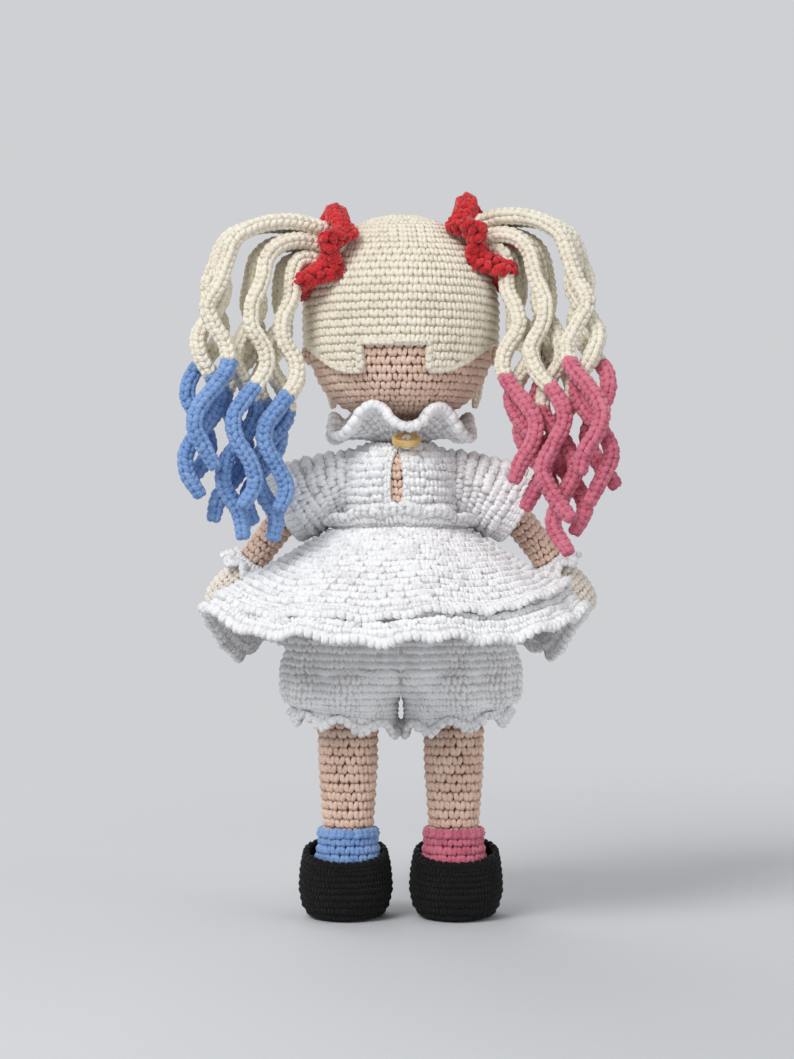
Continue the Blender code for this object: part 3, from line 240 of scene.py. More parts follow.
# Each takes arrays u, round the form, and v, down it, both from 0 to 1, and gives points
NORMAL_STEP = 0.004
SMOOTH_STEPS = 16
RING_ROWS = 90
RING_TURNS = np.linspace(0, TAU, 12, endpoint=False)


def unit(vectors):
    return vectors / np.maximum(np.linalg.norm(vectors, axis=-1, keepdims=True), 1e-12)


def direction(x, y, z):
    return unit(np.array([x, y, z], float))


def ease(share):
    """A smooth step from 0 to 1."""
    share = np.clip(share, 0, 1)
    return share * share * (3 - 2 * share)


def travelled(rows):
    """How far each row lies along the line of rows, on average where a row holds several points."""
    steps = np.linalg.norm(np.diff(rows, axis=0), axis=-1)
    return np.concatenate([[0], np.cumsum(steps.reshape(len(steps), -1).mean(1))])


def length_of(line):
    return np.linalg.norm(np.diff(line, axis=0), axis=1).sum()


def spaced(table, far, count):
    """The table's rows at even steps of this distance."""
    at = np.linspace(0, far[-1], count)
    return np.column_stack([np.interp(at, far, column) for column in table.T])


def even(rows, count):
    """Rows of numbers spaced evenly along their line."""
    rows = np.asarray(rows, float)
    return spaced(rows, travelled(rows), count)


def smooth(rows, count):
    """Rows of numbers resampled evenly along a smooth line through them."""
    ends = np.vstack([2 * rows[0] - rows[1], rows, 2 * rows[-1] - rows[-2]])
    share = np.linspace(0, 1, SMOOTH_STEPS, endpoint=False)[:, None]
    found = []
    for a, b, c, d in zip(ends, ends[1:], ends[2:], ends[3:]):
        curve = 2 * b + (c - a) * share
        curve = curve + (2 * a - 5 * b + 4 * c - d) * share**2 + (3 * b - a - 3 * c + d) * share**3
        found.append(curve / 2)
    return even(np.vstack([*found, rows[-1:]]), count)


def looked_up(table, v):
    spots = np.arange(len(table))
    at = np.clip(v, 0, 1) * (len(table) - 1)
    return [np.interp(at, spots, column) for column in table.T]


def polar(radius, angle, height):
    """Points round the upright axis."""
    return np.stack([radius * np.cos(angle), radius * np.sin(angle), height], -1)


def around(angle, one, two):
    """Directions at this angle from one to two."""
    return one * np.cos(angle)[..., None] + two * np.sin(angle)[..., None]


def rings(rows, place=(0, 0, 0)):
    """A form from rings: centre x and y, half width, half length, height, and its tilt along y."""
    table = even(rows, 4 * RING_ROWS)
    c, s = np.cos(RING_TURNS), np.sin(RING_TURNS)
    x, y, wide, long, z, lean = (column[:, None] for column in table.T)
    table = spaced(table, travelled(np.stack([x + wide * c, y + long * s, z + lean * s], -1)), RING_ROWS)

    def surface(u, v):
        x, y, wide, long, z, lean = looked_up(table, v)
        c, s = np.cos(TAU * u), np.sin(TAU * u)
        return np.stack([x + wide * c, y + long * s, z + lean * s], -1) + np.array(place)

    return surface


def turned(outline, place=(0, 0, 0)):
    """A form turned about an upright axis, from (radius, height) points listed downwards."""
    return rings([(0, 0, radius, radius, height, 0) for radius, height in outline], place)


def ball(place, wide, long, high, tip, count):
    """A rounded form about a place, cut off at its top and bottom by the angle tip."""
    rows = []
    for fall in np.linspace(tip, math.pi - tip, count):
        rows.append((0, 0, wide * math.sin(fall), long * math.sin(fall), high * math.cos(fall), 0))
    return rings(rows, place)


def draped(form, *more):
    """A surface from a form that takes an angle, and how far down it is from 0 to 1."""
    return lambda u, v: form(TAU * u, np.clip(v, 0, 1), *more)


def seated(outline, count, seat, axes, tall=1.0):
    """A form turned about the last of three axes that start at its seat, taller than wide by tall."""
    table = even(outline, count)

    def surface(u, v):
        radius, height = looked_up(table, v)
        return seat + polar(radius, TAU * u, height) * (1, tall, 1) @ axes

    return surface


def tube(path, radii, count=160, across=(0, 1, 0)):
    """A round form along a path, without twist."""
    table = smooth(np.column_stack([path, radii]), count)
    ahead = unit(np.gradient(table[:, :3], axis=0))
    side = np.array(across, float)
    sides = []
    for forth in ahead:
        side = unit(side - forth * side.dot(forth))
        sides.append(side)
    table = np.column_stack([table, sides, np.cross(ahead, sides)])

    def surface(u, v):
        columns = np.stack(looked_up(table, v), -1)
        middle, radius, one, two = np.split(columns, (3, 4, 7), axis=-1)
        return middle + radius * around(TAU * u, one, two)

    return surface


def normals(surface, u, v, sign=1):
    before, after = np.clip(v - NORMAL_STEP, 0, 1), np.clip(v + NORMAL_STEP, 0, 1)
    down = surface(u, after) - surface(u, before)
    return sign * unit(np.cross(down, surface(u + NORMAL_STEP, v) - surface(u - NORMAL_STEP, v)))


def facing(surface):
    """1 where the surface's normals point away from its middle line, -1 where they point in."""
    u = np.linspace(0, 1, 24, endpoint=False)
    v = np.full_like(u, 0.5)
    points = surface(u, v)
    return 1 if ((points - points.mean(0)) * normals(surface, u, v)).sum() > 0 else -1


def girth(surface, v):
    u = np.linspace(0, 1, 97)
    return length_of(surface(u, np.full_like(u, v)))


def depth(surface):
    v = np.linspace(0, 1, 41)
    return float(np.mean([length_of(surface(np.full_like(v, u), v)) for u in (0.0, 0.25, 0.5, 0.75)]))


# Meshes

# A share of the way down that no stitch reaches, for a piece in one colour
NO_DIP = 2.0
# Places on the yarn's ramp: linings and sheet fabric are painted in shade where they show between stitches,
# and a thread takes its body colour
LINING_SHADE = 0.1
SHEET_SHADE = 0.2
THREAD_TONE = 0.5


class Weave:
    """Points and faces gathered for one mesh, with what the yarn materials read from it."""

    def __init__(self, blush=None):
        self.points, self.loops, self.sizes, self.paint = [], [], [], []
        self.ply, self.tone = [], []
        self.total = 0
        self.blush = blush

    def add(self, points, faces, ply=None, tone=LINING_SHADE, paint=None):
        """Adds points and groups of faces, each group with the material of each face or of all."""
        points = points.reshape(-1, 3)
        self.points.append(points)
        self.ply.append(np.zeros_like(points) if ply is None else ply.reshape(-1, 3))
        self.tone.append(np.broadcast_to(tone, len(points)).astype(float))
        for group, shades in zip(faces, paint or [0] * len(faces)):
            group = group.reshape(-1, group.shape[-1])
            self.loops.append((group + self.total).reshape(-1))
            self.sizes.append(np.full(len(group), group.shape[-1]))
            self.paint.append(np.broadcast_to(shades, len(group)))
        self.total += len(points)

    def mesh(self, name):
        points = np.concatenate(self.points)
        loops = np.concatenate(self.loops).astype(np.int32)
        sizes = np.concatenate(self.sizes)
        made = bpy.data.meshes.new(name)
        made.vertices.add(len(points))
        made.vertices.foreach_set("co", points.astype(np.float32).ravel())
        made.loops.add(len(loops))
        made.loops.foreach_set("vertex_index", loops)
        made.polygons.add(len(sizes))
        starts = np.concatenate([[0], np.cumsum(sizes)[:-1]]).astype(np.int32)
        made.polygons.foreach_set("loop_start", starts)
        made.polygons.foreach_set("material_index", np.concatenate(self.paint).astype(np.int32))
        made.update(calc_edges=True)
        made.shade_smooth()
        kept = {"ply": ("vector", np.concatenate(self.ply)), "tone": ("value", np.concatenate(self.tone))}
        if self.blush:
            kept["blush"] = ("value", self.blush(points))
        for label, (field, values) in kept.items():
            attribute = made.attributes.new(label, "FLOAT_VECTOR" if field == "vector" else "FLOAT", "POINT")
            attribute.data.foreach_set(field, values.astype(np.float32).ravel())
        return made


def grid_faces(index, closed, flip):
    """Quads between the rows of an index grid."""
    here, there = (index, np.roll(index, -1, axis=1)) if closed else (index[:, :-1], index[:, 1:])
    quads = np.stack([here[:-1], here[1:], there[1:], there[:-1]], -1)
    return quads[..., ::-1] if flip else quads


def lining(
    weave, surface, columns, rows, outer=0.0, inner=None, closed=True, sign=None, dip=NO_DIP,
    tone=LINING_SHADE,
):
    """The fabric under the stitches: a closed form, or a sheet that is outer above and inner below."""
    sign = sign or facing(surface)
    u = np.arange(columns) / columns if closed else np.linspace(0, 1, columns)
    u, v = np.meshgrid(u, np.linspace(0, 1, rows + 1))
    places, out = surface(u, v), normals(surface, u, v, sign)
    index = np.arange(u.size).reshape(u.shape)
    flip = sign < 0
    quads = grid_faces(index, closed, flip)
    upper = (places + out * outer).reshape(-1, 3)
    if inner is None:
        shades = ((v[:-1] > dip) * 1).reshape(-1)
        fans = []
        for ring, tip, turn in ((index[0], u.size, flip), (index[-1], u.size + 1, not flip)):
            after = np.roll(ring, -1)
            one, two = (after, ring) if turn else (ring, after)
            fans.append(np.stack([np.full_like(ring, tip), one, two], -1))
        points = np.concatenate([upper, places[[0, -1]].mean(1)])
        weave.add(points, [quads, *fans], tone=tone, paint=[shades, 0, shades[-1]])
        return
    low = index + u.size
    groups = [quads, grid_faces(low, closed, not flip)]
    for at, turn in ((0, flip), (-1, not flip)):
        groups.append(grid_faces(np.stack([index[at], low[at]]), closed, not turn))
    if not closed:
        for at, turn in ((0, not flip), (-1, flip)):
            groups.append(grid_faces(np.stack([index[:, at], low[:, at]]), False, not turn))
    weave.add(np.concatenate([upper, (places - out * inner).reshape(-1, 3)]), groups, tone=tone)


# Stitches

# One leg of a stitch, from its foot to its shoulder: across, down, height and thickness
LEG_ACROSS = np.array([0.07, 0.15, 0.24, 0.30, 0.32])
LEG_DOWN = np.array([0.98, 0.80, 0.50, 0.20, 0.02])
LEG_HEIGHT = np.array([-0.75, 0.12, 0.42, 0.16, -0.70])
LEG_THICK = np.array([0.58, 1.04, 1.18, 1.08, 0.60])
# Painted shade at the leg's buried ends and a painted highlight at its crest, as places on the yarn's ramp
LEG_SHADE_AND_HIGHLIGHT = np.array([0.25, 0.5, 0.64, 0.54, 0.25])
LEG_RINGS = len(LEG_DOWN)
LEG_SIDES = 6
LEG_MIDDLE = 0.24

# How far a stitch strays off its place, tips over and sinks, in shares of its jitter, and off its tone
SHIFT = 0.6
TIP = 1.6
SINK = 0.25
SHADE = 0.12

# The dress is worked in knobbly double stitches, its frills in flat ones, and borders are chains
KNOBBLY = {"plump": 1.5, "long": 0.8, "lean": 0.9}
FLAT = {"plump": 0.6, "long": 1.1}
EDGE_CHAIN = {"plump": 0.7, "long": 1.35, "lean": 1.6}
HEM_CHAIN = {"plump": 0.6, "long": 1.4, "lean": 1.4}
SLIT_CHAIN = {"plump": 0.5, "long": 1.45, "lean": 1.4}
CORD_CHAIN = {"plump": 0.5, "long": 1.6, "lean": 1.45}
RUFFLED = {"plump": 0.55, "long": 1.15, "lean": 1.2}
EDGE_STITCH = 0.003
# An open sheet's rows step to and fro by this share of a stitch, and end this far in from its edges
OPEN_STAGGER = 0.5
OPEN_MARGIN = 0.012

# Stuffed covers: height, width and thickness of a stitch, and the columns and rows of the lining
COVERS = {
    "head": (0.0032, 0.0038, 0.00094, 64, 60),
    "ear": (0.0022, 0.0026, 0.0007, 16, 10),
    "nose": (0.0014, 0.002, 0.00055, 16, 12),
    "torso": (0.003, 0.0036, 0.0009, 40, 50),
    "arm": (0.0031, 0.0037, 0.00092, 20, 30),
    "mitten": (0.0027, 0.0033, 0.0009, 20, 20),
    "leg": (0.0034, 0.0040, 0.00102, 32, 40),
}
# How deep the lining and the stitches lie under the form, in thicknesses of a stitch
LINING_SUNK = 1.05
STITCH_SUNK = 0.35

# Sheets: height, width and thickness of a stitch, the fabric's wall, its columns and rows, the kind of
# stitch, and each edge chain's place down the sheet, width and thickness
SHEETS = {
    "bodice": (0.0030, 0.0036, 0.00115, 0.0012, 96, 28, KNOBBLY, ()),
    "sleeve": (
        0.0031, 0.0036, 0.00115, 0.0012, 96, 20, KNOBBLY, [(0.88, 0.0026, 0.0009), (0.95, 0.0026, 0.0009)],
    ),
    "skirt": (0.0031, 0.0035, 0.00115, 0.0012, 160, 24, KNOBBLY, ()),
    "collar": (0.0036, 0.0042, 0.00105, 0.0016, 160, 16, FLAT, [(0.93, 0.0034, 0.0019)]),
    "cuff_frill": (0.0026, 0.003, 0.0008, 0.0007, 96, 6, FLAT, [(0.88, 0.0024, 0.00125)]),
    "skirt_frill": (0.003, 0.0034, 0.0009, 0.0009, 200, 6, FLAT, [(0.88, 0.0026, 0.00125)]),
    "hem_frill": (0.003, 0.0034, 0.0009, 0.0011, 240, 6, FLAT, [(0.88, 0.0028, 0.0015)]),
    "waist_frill": (0.003, 0.0034, 0.0009, 0.0009, 200, 10, FLAT, [(0.9, 0.0024, 0.0013)]),
    "bloomer": (0.0029, 0.0037, 0.0009, 0.0012, 96, 60, {}, ()),
    "bloomer_frill": (0.0028, 0.003, 0.00085, 0.0008, 96, 6, FLAT, [(0.88, 0.0024, 0.0013)]),
    "shoe": (0.0028, 0.0031, 0.0008, 0.0018, 64, 40, {}, [(0.98, 0.0028, 0.0011)]),
}
# The least length and share of its rectangle that a sheet's flat size and area may have
LEAST_LENGTH = 0.0101
LEAST_SHARE = 0.31
DRESS_JITTER = 0.26
DRESS_LIFT = 0.0003


def leg_faces():
    index = np.arange(LEG_RINGS * LEG_SIDES).reshape(LEG_RINGS, LEG_SIDES)
    there = np.roll(index, -1, axis=1)
    walls = np.stack([index[:-1], there[:-1], there[1:], index[1:]], -1).reshape(-1, 4)
    first, last = index[0], index[-1]
    caps = [first[[3, 2, 1, 0]], first[[5, 4, 3, 0]], last[[0, 1, 2, 3]], last[[0, 3, 4, 5]]]
    return np.vstack([walls, *caps])


LEG_FACES = leg_faces()


def stitch_cells(surface, height, width=None, closed=True, span=(0, 1), drift=0.12, count=None, rows=None):
    """Where the stitches go, row by row: middle u, top v, width and height of each, as shares."""
    low, high = span
    rows = rows or max(1, round(depth(surface) * (high - low) / height))
    cells = []
    for row in range(rows):
        top = low + (high - low) * row / rows
        number = count or max(3, round(girth(surface, top + (high - low) / rows / 2) / width))
        along = drift * row if closed else OPEN_STAGGER * (row % 2 - 0.5)
        u = (np.arange(number) + 0.5 + along) / number
        if not closed:
            u = OPEN_MARGIN + (1 - 2 * OPEN_MARGIN) * u
        cells.append(np.column_stack([u, np.full(number, top), np.full(number, 1 / number)]))
    cells = np.vstack(cells)
    return cells[:, 0], cells[:, 1], cells[:, 2], (high - low) / rows


def work(
    weave, surface, cells, thick, lift=0.0, sign=1, keep=None, jitter=0.1, dip=NO_DIP,
    plump=1.0, long=1.0, lean=1.0,
):
    """Stitches on a surface, each a pair of plump legs."""
    u, v, wide, high = cells
    if keep is not None:
        kept = keep(surface(u, v + high / 2))
        u, v, wide = u[kept], v[kept], wide[kept]
    number = len(u)
    if not number:
        return
    size = 1 + jitter * rng.uniform(-1, 1, number)
    shift = jitter * rng.uniform(-SHIFT, SHIFT, (2, number))
    shade = rng.uniform(-SHADE, SHADE, number)
    tip = TIP * jitter * rng.uniform(-1, 1, number)
    shades = (v + high / 2 > dip) * 1
    angle = TAU * np.arange(LEG_SIDES) / LEG_SIDES
    spread = LEG_MIDDLE + (LEG_ACROSS - LEG_MIDDLE) * lean
    tipped = tip[:, None] * (LEG_DOWN - 0.5)
    for side in (-1, 1):
        at_u = u[:, None] + wide[:, None] * (side * spread + shift[0][:, None] + tipped)
        at_v = v[:, None] + high * (0.5 + (LEG_DOWN - 0.5) * long + shift[1][:, None])
        out = normals(surface, at_u, at_v, sign)
        raised = lift + thick * (LEG_HEIGHT * plump + SINK * shift[0][:, None])
        middle = surface(at_u, at_v) + out * raised[..., None]
        ahead = unit(np.gradient(middle, axis=1))
        beside = unit(np.cross(ahead, out))
        up = np.cross(beside, ahead)
        radius = (thick * size[:, None] * LEG_THICK)[..., None, None]
        points = middle[..., None, :] + radius * around(angle, up[..., None, :], beside[..., None, :])
        steps = np.linalg.norm(np.diff(middle, axis=1), axis=2)
        ply = np.zeros(points.shape)
        ply[..., 0] = np.concatenate([np.zeros((number, 1)), np.cumsum(steps, axis=1)], axis=1)[..., None]
        ply[..., 1], ply[..., 2] = np.cos(angle), np.sin(angle)
        # The leg's painted shade and highlight, plus a random tone for each stitch
        tone = np.broadcast_to((LEG_SHADE_AND_HIGHLIGHT + shade[:, None])[..., None], points.shape[:3])
        faces = LEG_FACES[None] + np.arange(number)[:, None, None] * (LEG_RINGS * LEG_SIDES)
        weave.add(points, [faces], ply, tone.reshape(-1), [np.repeat(shades, len(LEG_FACES))])


def edging(weave, surface, at, width, thick, sign=1, lift=0.0):
    """A chain of stitches that runs along a surface's edge, at this v."""
    share = width / depth(surface)

    def ribbon(a, b):
        return surface(b, at + (a - 0.5) * share)

    number = max(4, round(girth(surface, min(max(at, 0), 1)) / EDGE_STITCH))
    cells = (np.full(number, 0.5), np.arange(number) / number, np.ones(number), 1 / number)
    work(weave, ribbon, cells, thick, lift, -sign, jitter=0.06, **EDGE_CHAIN)


# Pieces


def shown(name, weave, body, slot, nodes=(), looks=None):
    """A piece in the scene that rides on a body and stands for its nodes."""
    made = bpy.data.objects.new(name, weave.mesh(name))
    bpy.context.scene.collection.objects.link(made)
    for look in looks or [slot]:
        made.data.materials.append(MATERIALS[look])
    if body:
        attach(made, body)
    if nodes:
        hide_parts(*nodes)
    return made


def sideless(name):
    return name.removeprefix("left_").removeprefix("right_")


def stuffed(name, surface, body, slot="skin", stands=True, keep=None, blush=None, **layout):
    """A stuffed piece: a firm lining and its stitches in one mesh."""
    height, width, thick, columns, rows = COVERS[sideless(name)]
    weave, sign = Weave(blush), facing(surface)
    lining(weave, surface, columns, rows, -LINING_SUNK * thick, sign=sign)
    cells = stitch_cells(surface, height, width, **layout)
    work(weave, surface, cells, thick, -STITCH_SUNK * thick, sign, keep)
    made = shown(f"{name}_cover", weave, body, slot, [name] if stands else ())


def flat_of(surface):
    """The sheet's flat size and its area, from the surface that it was worked to."""
    u, v = np.meshgrid(np.linspace(0, 1, 97), np.linspace(0, 1, 25))
    points = surface(u, v)
    one, two = points[1:, :-1] - points[:-1, :-1], points[:-1, 1:] - points[:-1, :-1]
    area = np.linalg.norm(np.cross(one, two), axis=-1).sum()
    wide, long = max(girth(surface, at) for at in (0.0, 0.5, 1.0)), max(depth(surface), LEAST_LENGTH)
    return (wide, long), min(max(area, LEAST_SHARE * wide * long), wide * long)


def cloth(
    name, surface, rests_on, body="torso", slot="white", nodes=None, sign=None, held="gathered", keep=None,
    blend=None, lift=0.0, jitter=0.12, **layout,
):
    """A crocheted sheet: the fabric, and its stitches as a piece on it."""
    height, width, thick, wall, columns, rows, shape, edges = SHEETS[sideless(name)]
    sign = sign or facing(surface)
    fabric, stitches = Weave(), Weave()
    closed = layout.get("closed", True)
    lining(fabric, surface, columns, rows, wall / 2, wall / 2, closed, sign, tone=SHEET_SHADE)
    cells = stitch_cells(surface, height, width, **layout)
    work(stitches, surface, cells, thick, lift, sign, keep, jitter, **shape)
    for at, broad, heavy in edges:
        edging(stitches, surface, at, broad, heavy, sign)
    body = None if blend else body
    made = shown(f"{name}_fabric", fabric, body, slot, [name] if nodes is None else nodes)
    worked = shown(f"{name}_fabric_stitches", stitches, body, slot)
    if blend:
        for piece in (made, worked):
            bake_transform(piece)
    flat, area = flat_of(surface)


# Cords: height of a stitch, chains side by side, and thickness
CURL = (0.0026, 3, 0.00112)
LOCK = (0.0022, 2, 0.00085)
# How deep a cord's core and its stitches lie under its form, in thicknesses of a stitch
CORE_SUNK = 0.95
CHAIN_SUNK = 0.72
# The points that a cord's middle line has, and the places round each
CORD_POINTS = 61
CORD_SIDES = 8


def cord_piece(node, surface, body, gauge, looks=None, dip=NO_DIP, turns=0.25, start=0.0):
    """A crocheted cord: chains of plump stitches side by side round a core, bare up to start."""
    height, count, thick = gauge
    weave, sign = Weave(), facing(surface)
    lining(weave, surface, 12, 40, -CORE_SUNK * thick, sign=sign, dip=dip)

    def twisted(u, v):
        return surface(u + turns * v, v)

    rows = round(depth(surface) * (1 - start) / height)
    cells = stitch_cells(twisted, height, count=count, rows=rows, drift=0, span=(start, 1))
    work(weave, twisted, cells, thick, -CHAIN_SUNK * thick, sign, jitter=0.08, dip=dip, **CORD_CHAIN)
    return shown(f"{node}_cord", weave, body, "hair", [node], looks)


def hung(made, surface):
    """The middle line of a cord that hangs from the cap, and its length, neither of which is kept."""
    u = np.linspace(0, 1, CORD_SIDES, endpoint=False)
    hoops = [surface(u, np.full(CORD_SIDES, v)) for v in np.linspace(0, 1, CORD_POINTS)]
    line = np.array([hoop.mean(0) for hoop in hoops])
    length_of(line)


# Head

HEAD_RADIUS = 0.035
HEAD_FULL = 2.9
# How far the head's stitches run on under the cap
HEAD_TUCK = 0.004
CAP_GROW = 0.0016
CAP_TURN = 4
CROWN = 0.003
# The cap's hem: degrees from the middle of the back, and height over the head's middle
CAP_HEM = [
    (0, -0.013), (21, -0.013), (22.2, -0.0234), (30, -0.0234), (38, -0.0224), (48, -0.0198), (58, -0.0163),
    (70, -0.0127), (84, -0.0114), (114, -0.0114), (136, -0.00145), (158, 0.0085), (180, 0.0085),
]
HEM_STEP = 1.5
STEEP_DEGREES = 2
STEEP_STEPS = 12
# The cap's fabric outside and inside its form, how far its stitches stay over the hem, their height,
# width and thickness, and the border's radius and its chains' height, thickness and lift
CAP_WALLS = (0.0003, 0.0011)
CAP_MARGIN = 0.0005
CAP_GAUGE = (0.0031, 0.0035, 0.00094)
BORDER_RADIUS = 0.0009
BORDER_GAUGE = (0.0029, 0.00085, -0.0004)
CHEEK_APART = 0.0195
CHEEK_DROP = 0.0150
CHEEK_RADIUS = 0.0075
CHEEK_STRENGTH = 0.55


def head_outline(grow, low=0.01, high=math.pi - 0.01, count=400):
    """(radius, height) down the head, grown outwards: round above its middle and fuller below."""
    found = []
    for fall in np.linspace(low, high, count):
        round_part = fall <= math.pi / 2
        high = (HEAD_RADIUS if round_part else HEAD_DROP) + grow
        power = 2.0 if round_part else HEAD_FULL
        radius = (HEAD_RADIUS + grow) * max(0.0, 1 - abs(math.cos(fall)) ** power) ** (1 / power)
        found.append((radius, high * math.cos(fall)))
    return np.array(found)


HEAD_OUTLINE = head_outline(0)
CAP_OUTLINE = head_outline(CAP_GROW)


def head_radius(drop):
    """The head's radius this far under its middle."""
    return np.interp(drop, -HEAD_OUTLINE[:, 1], HEAD_OUTLINE[:, 0])


def head_surface(grow, low=0.02, high=0.985):
    return turned(head_outline(grow, low * math.pi, high * math.pi, 120), (0, 0, HEAD_Z))


def hem_height(degrees):
    return np.interp(np.abs(degrees), *zip(*CAP_HEM))


def cap_hem(points):
    """How high each point is over the cap's hem."""
    turn = np.degrees(np.arctan2(points[..., 1], points[..., 0]))
    return points[..., 2] - HEAD_Z - hem_height((90 - CAP_TURN - turn + 180) % 360 - 180)


def cheeks(points):
    """How rosy each point of the face is."""
    far = np.hypot(np.abs(points[:, 0]) - CHEEK_APART, points[:, 2] - HEAD_Z + CHEEK_DROP)
    return np.where(points[:, 1] < 0, CHEEK_STRENGTH * np.exp(-((far / CHEEK_RADIUS) ** 2)), 0)


def make_head():
    stuffed(
        "head", head_surface(0), "head", keep=lambda points: cap_hem(points) < HEAD_TUCK, drift=0.08,
        blush=cheeks,
    )


def hem_line():
    """The cap's hem as a closed line."""
    degrees = []
    for (start, _), (end, _) in zip(CAP_HEM, CAP_HEM[1:]):
        steps = STEEP_STEPS if end - start < STEEP_DEGREES else max(2, round((end - start) / HEM_STEP))
        degrees += list(np.linspace(start, end, steps, endpoint=False))
    degrees = np.array([*degrees, 180, *(-d for d in reversed(degrees[1:]))])
    heights = hem_height(degrees)
    radius = np.interp(-heights, -CAP_OUTLINE[:, 1], CAP_OUTLINE[:, 0])
    line = polar(radius, np.radians(90 - degrees - CAP_TURN), HEAD_Z + heights)
    return np.vstack([line, line[:1]])


def make_cap():
    outline = head_outline(CAP_GROW, CROWN * math.pi)
    far = travelled(outline)

    def bend(u, v):
        degrees = u % 1 * 360 - 180
        end = np.interp(-hem_height(degrees), -outline[:, 1], far)
        at = end * np.clip(v, 0, 1)
        radius, height = np.interp(at, far, outline[:, 0]), np.interp(at, far, outline[:, 1])
        return polar(radius, np.radians(90 - degrees - CAP_TURN), HEAD_Z + height)

    fabric, stitches = Weave(), Weave()
    # The cap's fabric is painted in shade where it shows between its stitches
    lining(fabric, bend, 120, 40, *CAP_WALLS, tone=0.12)
    surface = head_surface(CAP_GROW, low=CROWN, high=0.8)
    height, width, thick = CAP_GAUGE
    cells = stitch_cells(surface, height, width, drift=0.06)
    work(stitches, surface, cells, thick, keep=lambda points: cap_hem(points) > CAP_MARGIN, jitter=0.08)
    line = even(hem_line(), 400)
    border = tube(line, np.full(len(line), BORDER_RADIUS), 400, across=(0, 0, 1))
    height, thick, lift = BORDER_GAUGE
    cells = stitch_cells(border, height, count=2, drift=0)
    work(stitches, border, cells, thick, lift, facing(border), jitter=0.06, **HEM_CHAIN)
    made = shown("hair_cap_fabric", fabric, "head", "hair", ["hair_cap"])
    worked = shown("hair_cap_stitches", stitches, "head", "hair")
    flat, area = flat_of(bend)


EAR_HIGH = 0.0036
EAR_DEEP = 0.0029
EAR_SUNK = 0.0007
EAR_DROP = 0.0158


def make_ears():
    for side, sign in SIDES.items():
        place = (sign * (HEAD_RADIUS - EAR_SUNK), 0, HEAD_Z - EAR_DROP)
        stuffed(f"{side}_ear", ball(place, EAR_HIGH, EAR_DEEP, EAR_HIGH, 0.06, 16), "head")


# Face

EYE_RADIUS = 0.0043
EYE_HIGH = 1.25
EYE_DOME = 0.0026
EYE_APART = 0.014
EYE_DROP = 0.003
# The eye's washer, as (radius, height)
EYE_WASHER = [(EYE_RADIUS * 1.02, -0.0002), (EYE_RADIUS * 0.8, -0.0014), (0.0012, -0.0018)]
TIP_RADIUS = 0.00005
NOSE_DROP = 0.0125
NOSE_RADIUS = 0.0022
MOUTH_DROP = 0.0195
MOUTH_BOW = 0.0013
MOUTH_HALF = 0.0045
MOUTH_PROUD = 0.0004
THREAD_RADIUS = 0.0006


def make_eyes():
    """Two domed eyes with washers."""
    dome = [(EYE_RADIUS * math.cos(a), EYE_DOME * math.sin(a)) for a in np.linspace(math.pi / 2, 0, 14)]
    dome[0] = (TIP_RADIUS, EYE_DOME)
    outline = dome + EYE_WASHER
    for side, sign in SIDES.items():
        reach = head_radius(EYE_DROP)
        turn = -math.acos(sign * EYE_APART / reach)
        seat = polar(reach, turn, -EYE_DROP)
        out = unit(seat)
        level = unit(np.cross((0, 0, 1), out))
        seat = seat + (0, 0, HEAD_Z) + out * GAP
        axes = np.array([level, np.cross(out, level), out])
        weave = Weave()
        lining(weave, seated(outline, 40, seat, axes, EYE_HIGH), 40, 30)
        shown(f"{side}_eye_dome", weave, "head", "eye", [f"{side}_eye"])


def make_nose():
    place = (0, -head_radius(NOSE_DROP), HEAD_Z - NOSE_DROP)
    stuffed("nose", ball(place, NOSE_RADIUS, NOSE_RADIUS, NOSE_RADIUS, 0.1, 12), "head", stands=False)


def make_mouth():
    shares = np.linspace(-1, 1, 9)
    drop = MOUTH_DROP + MOUTH_BOW * (1 - shares**2)
    x = MOUTH_HALF * shares
    line = np.column_stack([x, -np.sqrt(head_radius(drop) ** 2 - x**2) - MOUTH_PROUD, HEAD_Z - drop])
    weave = Weave()
    lining(weave, tube(line, np.full(9, THREAD_RADIUS), 60, across=(0, 0, 1)), 10, 40, tone=THREAD_TONE)
    shown("mouth_thread", weave, "head", "red")


# Front locks: where they leave the hem and hang, in degrees from the back, and their sizes
LOCK_HEM_DEGREES = 119
LOCK_DEGREES = 122
LOCK_RADIUS = 0.0017
LOCK_TIP = 0.0008
LOCK_LENGTH = 0.026
LOCK_IN = 0.0045


def make_locks():
    for side, sign in SIDES.items():
        hem = float(hem_height(LOCK_HEM_DEGREES)) - GAP
        start = HEAD_RADIUS * (1 - (-hem / HEAD_DROP) ** HEAD_FULL) ** (1 / HEAD_FULL)
        turn = math.pi / 2 - sign * math.radians(LOCK_DEGREES) - math.radians(CAP_TURN)
        shares = np.linspace(0, 1, 7)
        out = start + GAP * 2 + LOCK_RADIUS - LOCK_IN * shares
        radii = np.append(np.full(6, LOCK_RADIUS), LOCK_TIP)
        line = polar(out, turn, HEAD_Z + hem - LOCK_LENGTH * shares)
        cord_piece(f"{side}_front_lock", tube(line, radii), "head", LOCK)


# Pigtails

CAP_OUTER = 0.0376
ROOT_REACH = CAP_OUTER + 0.0007
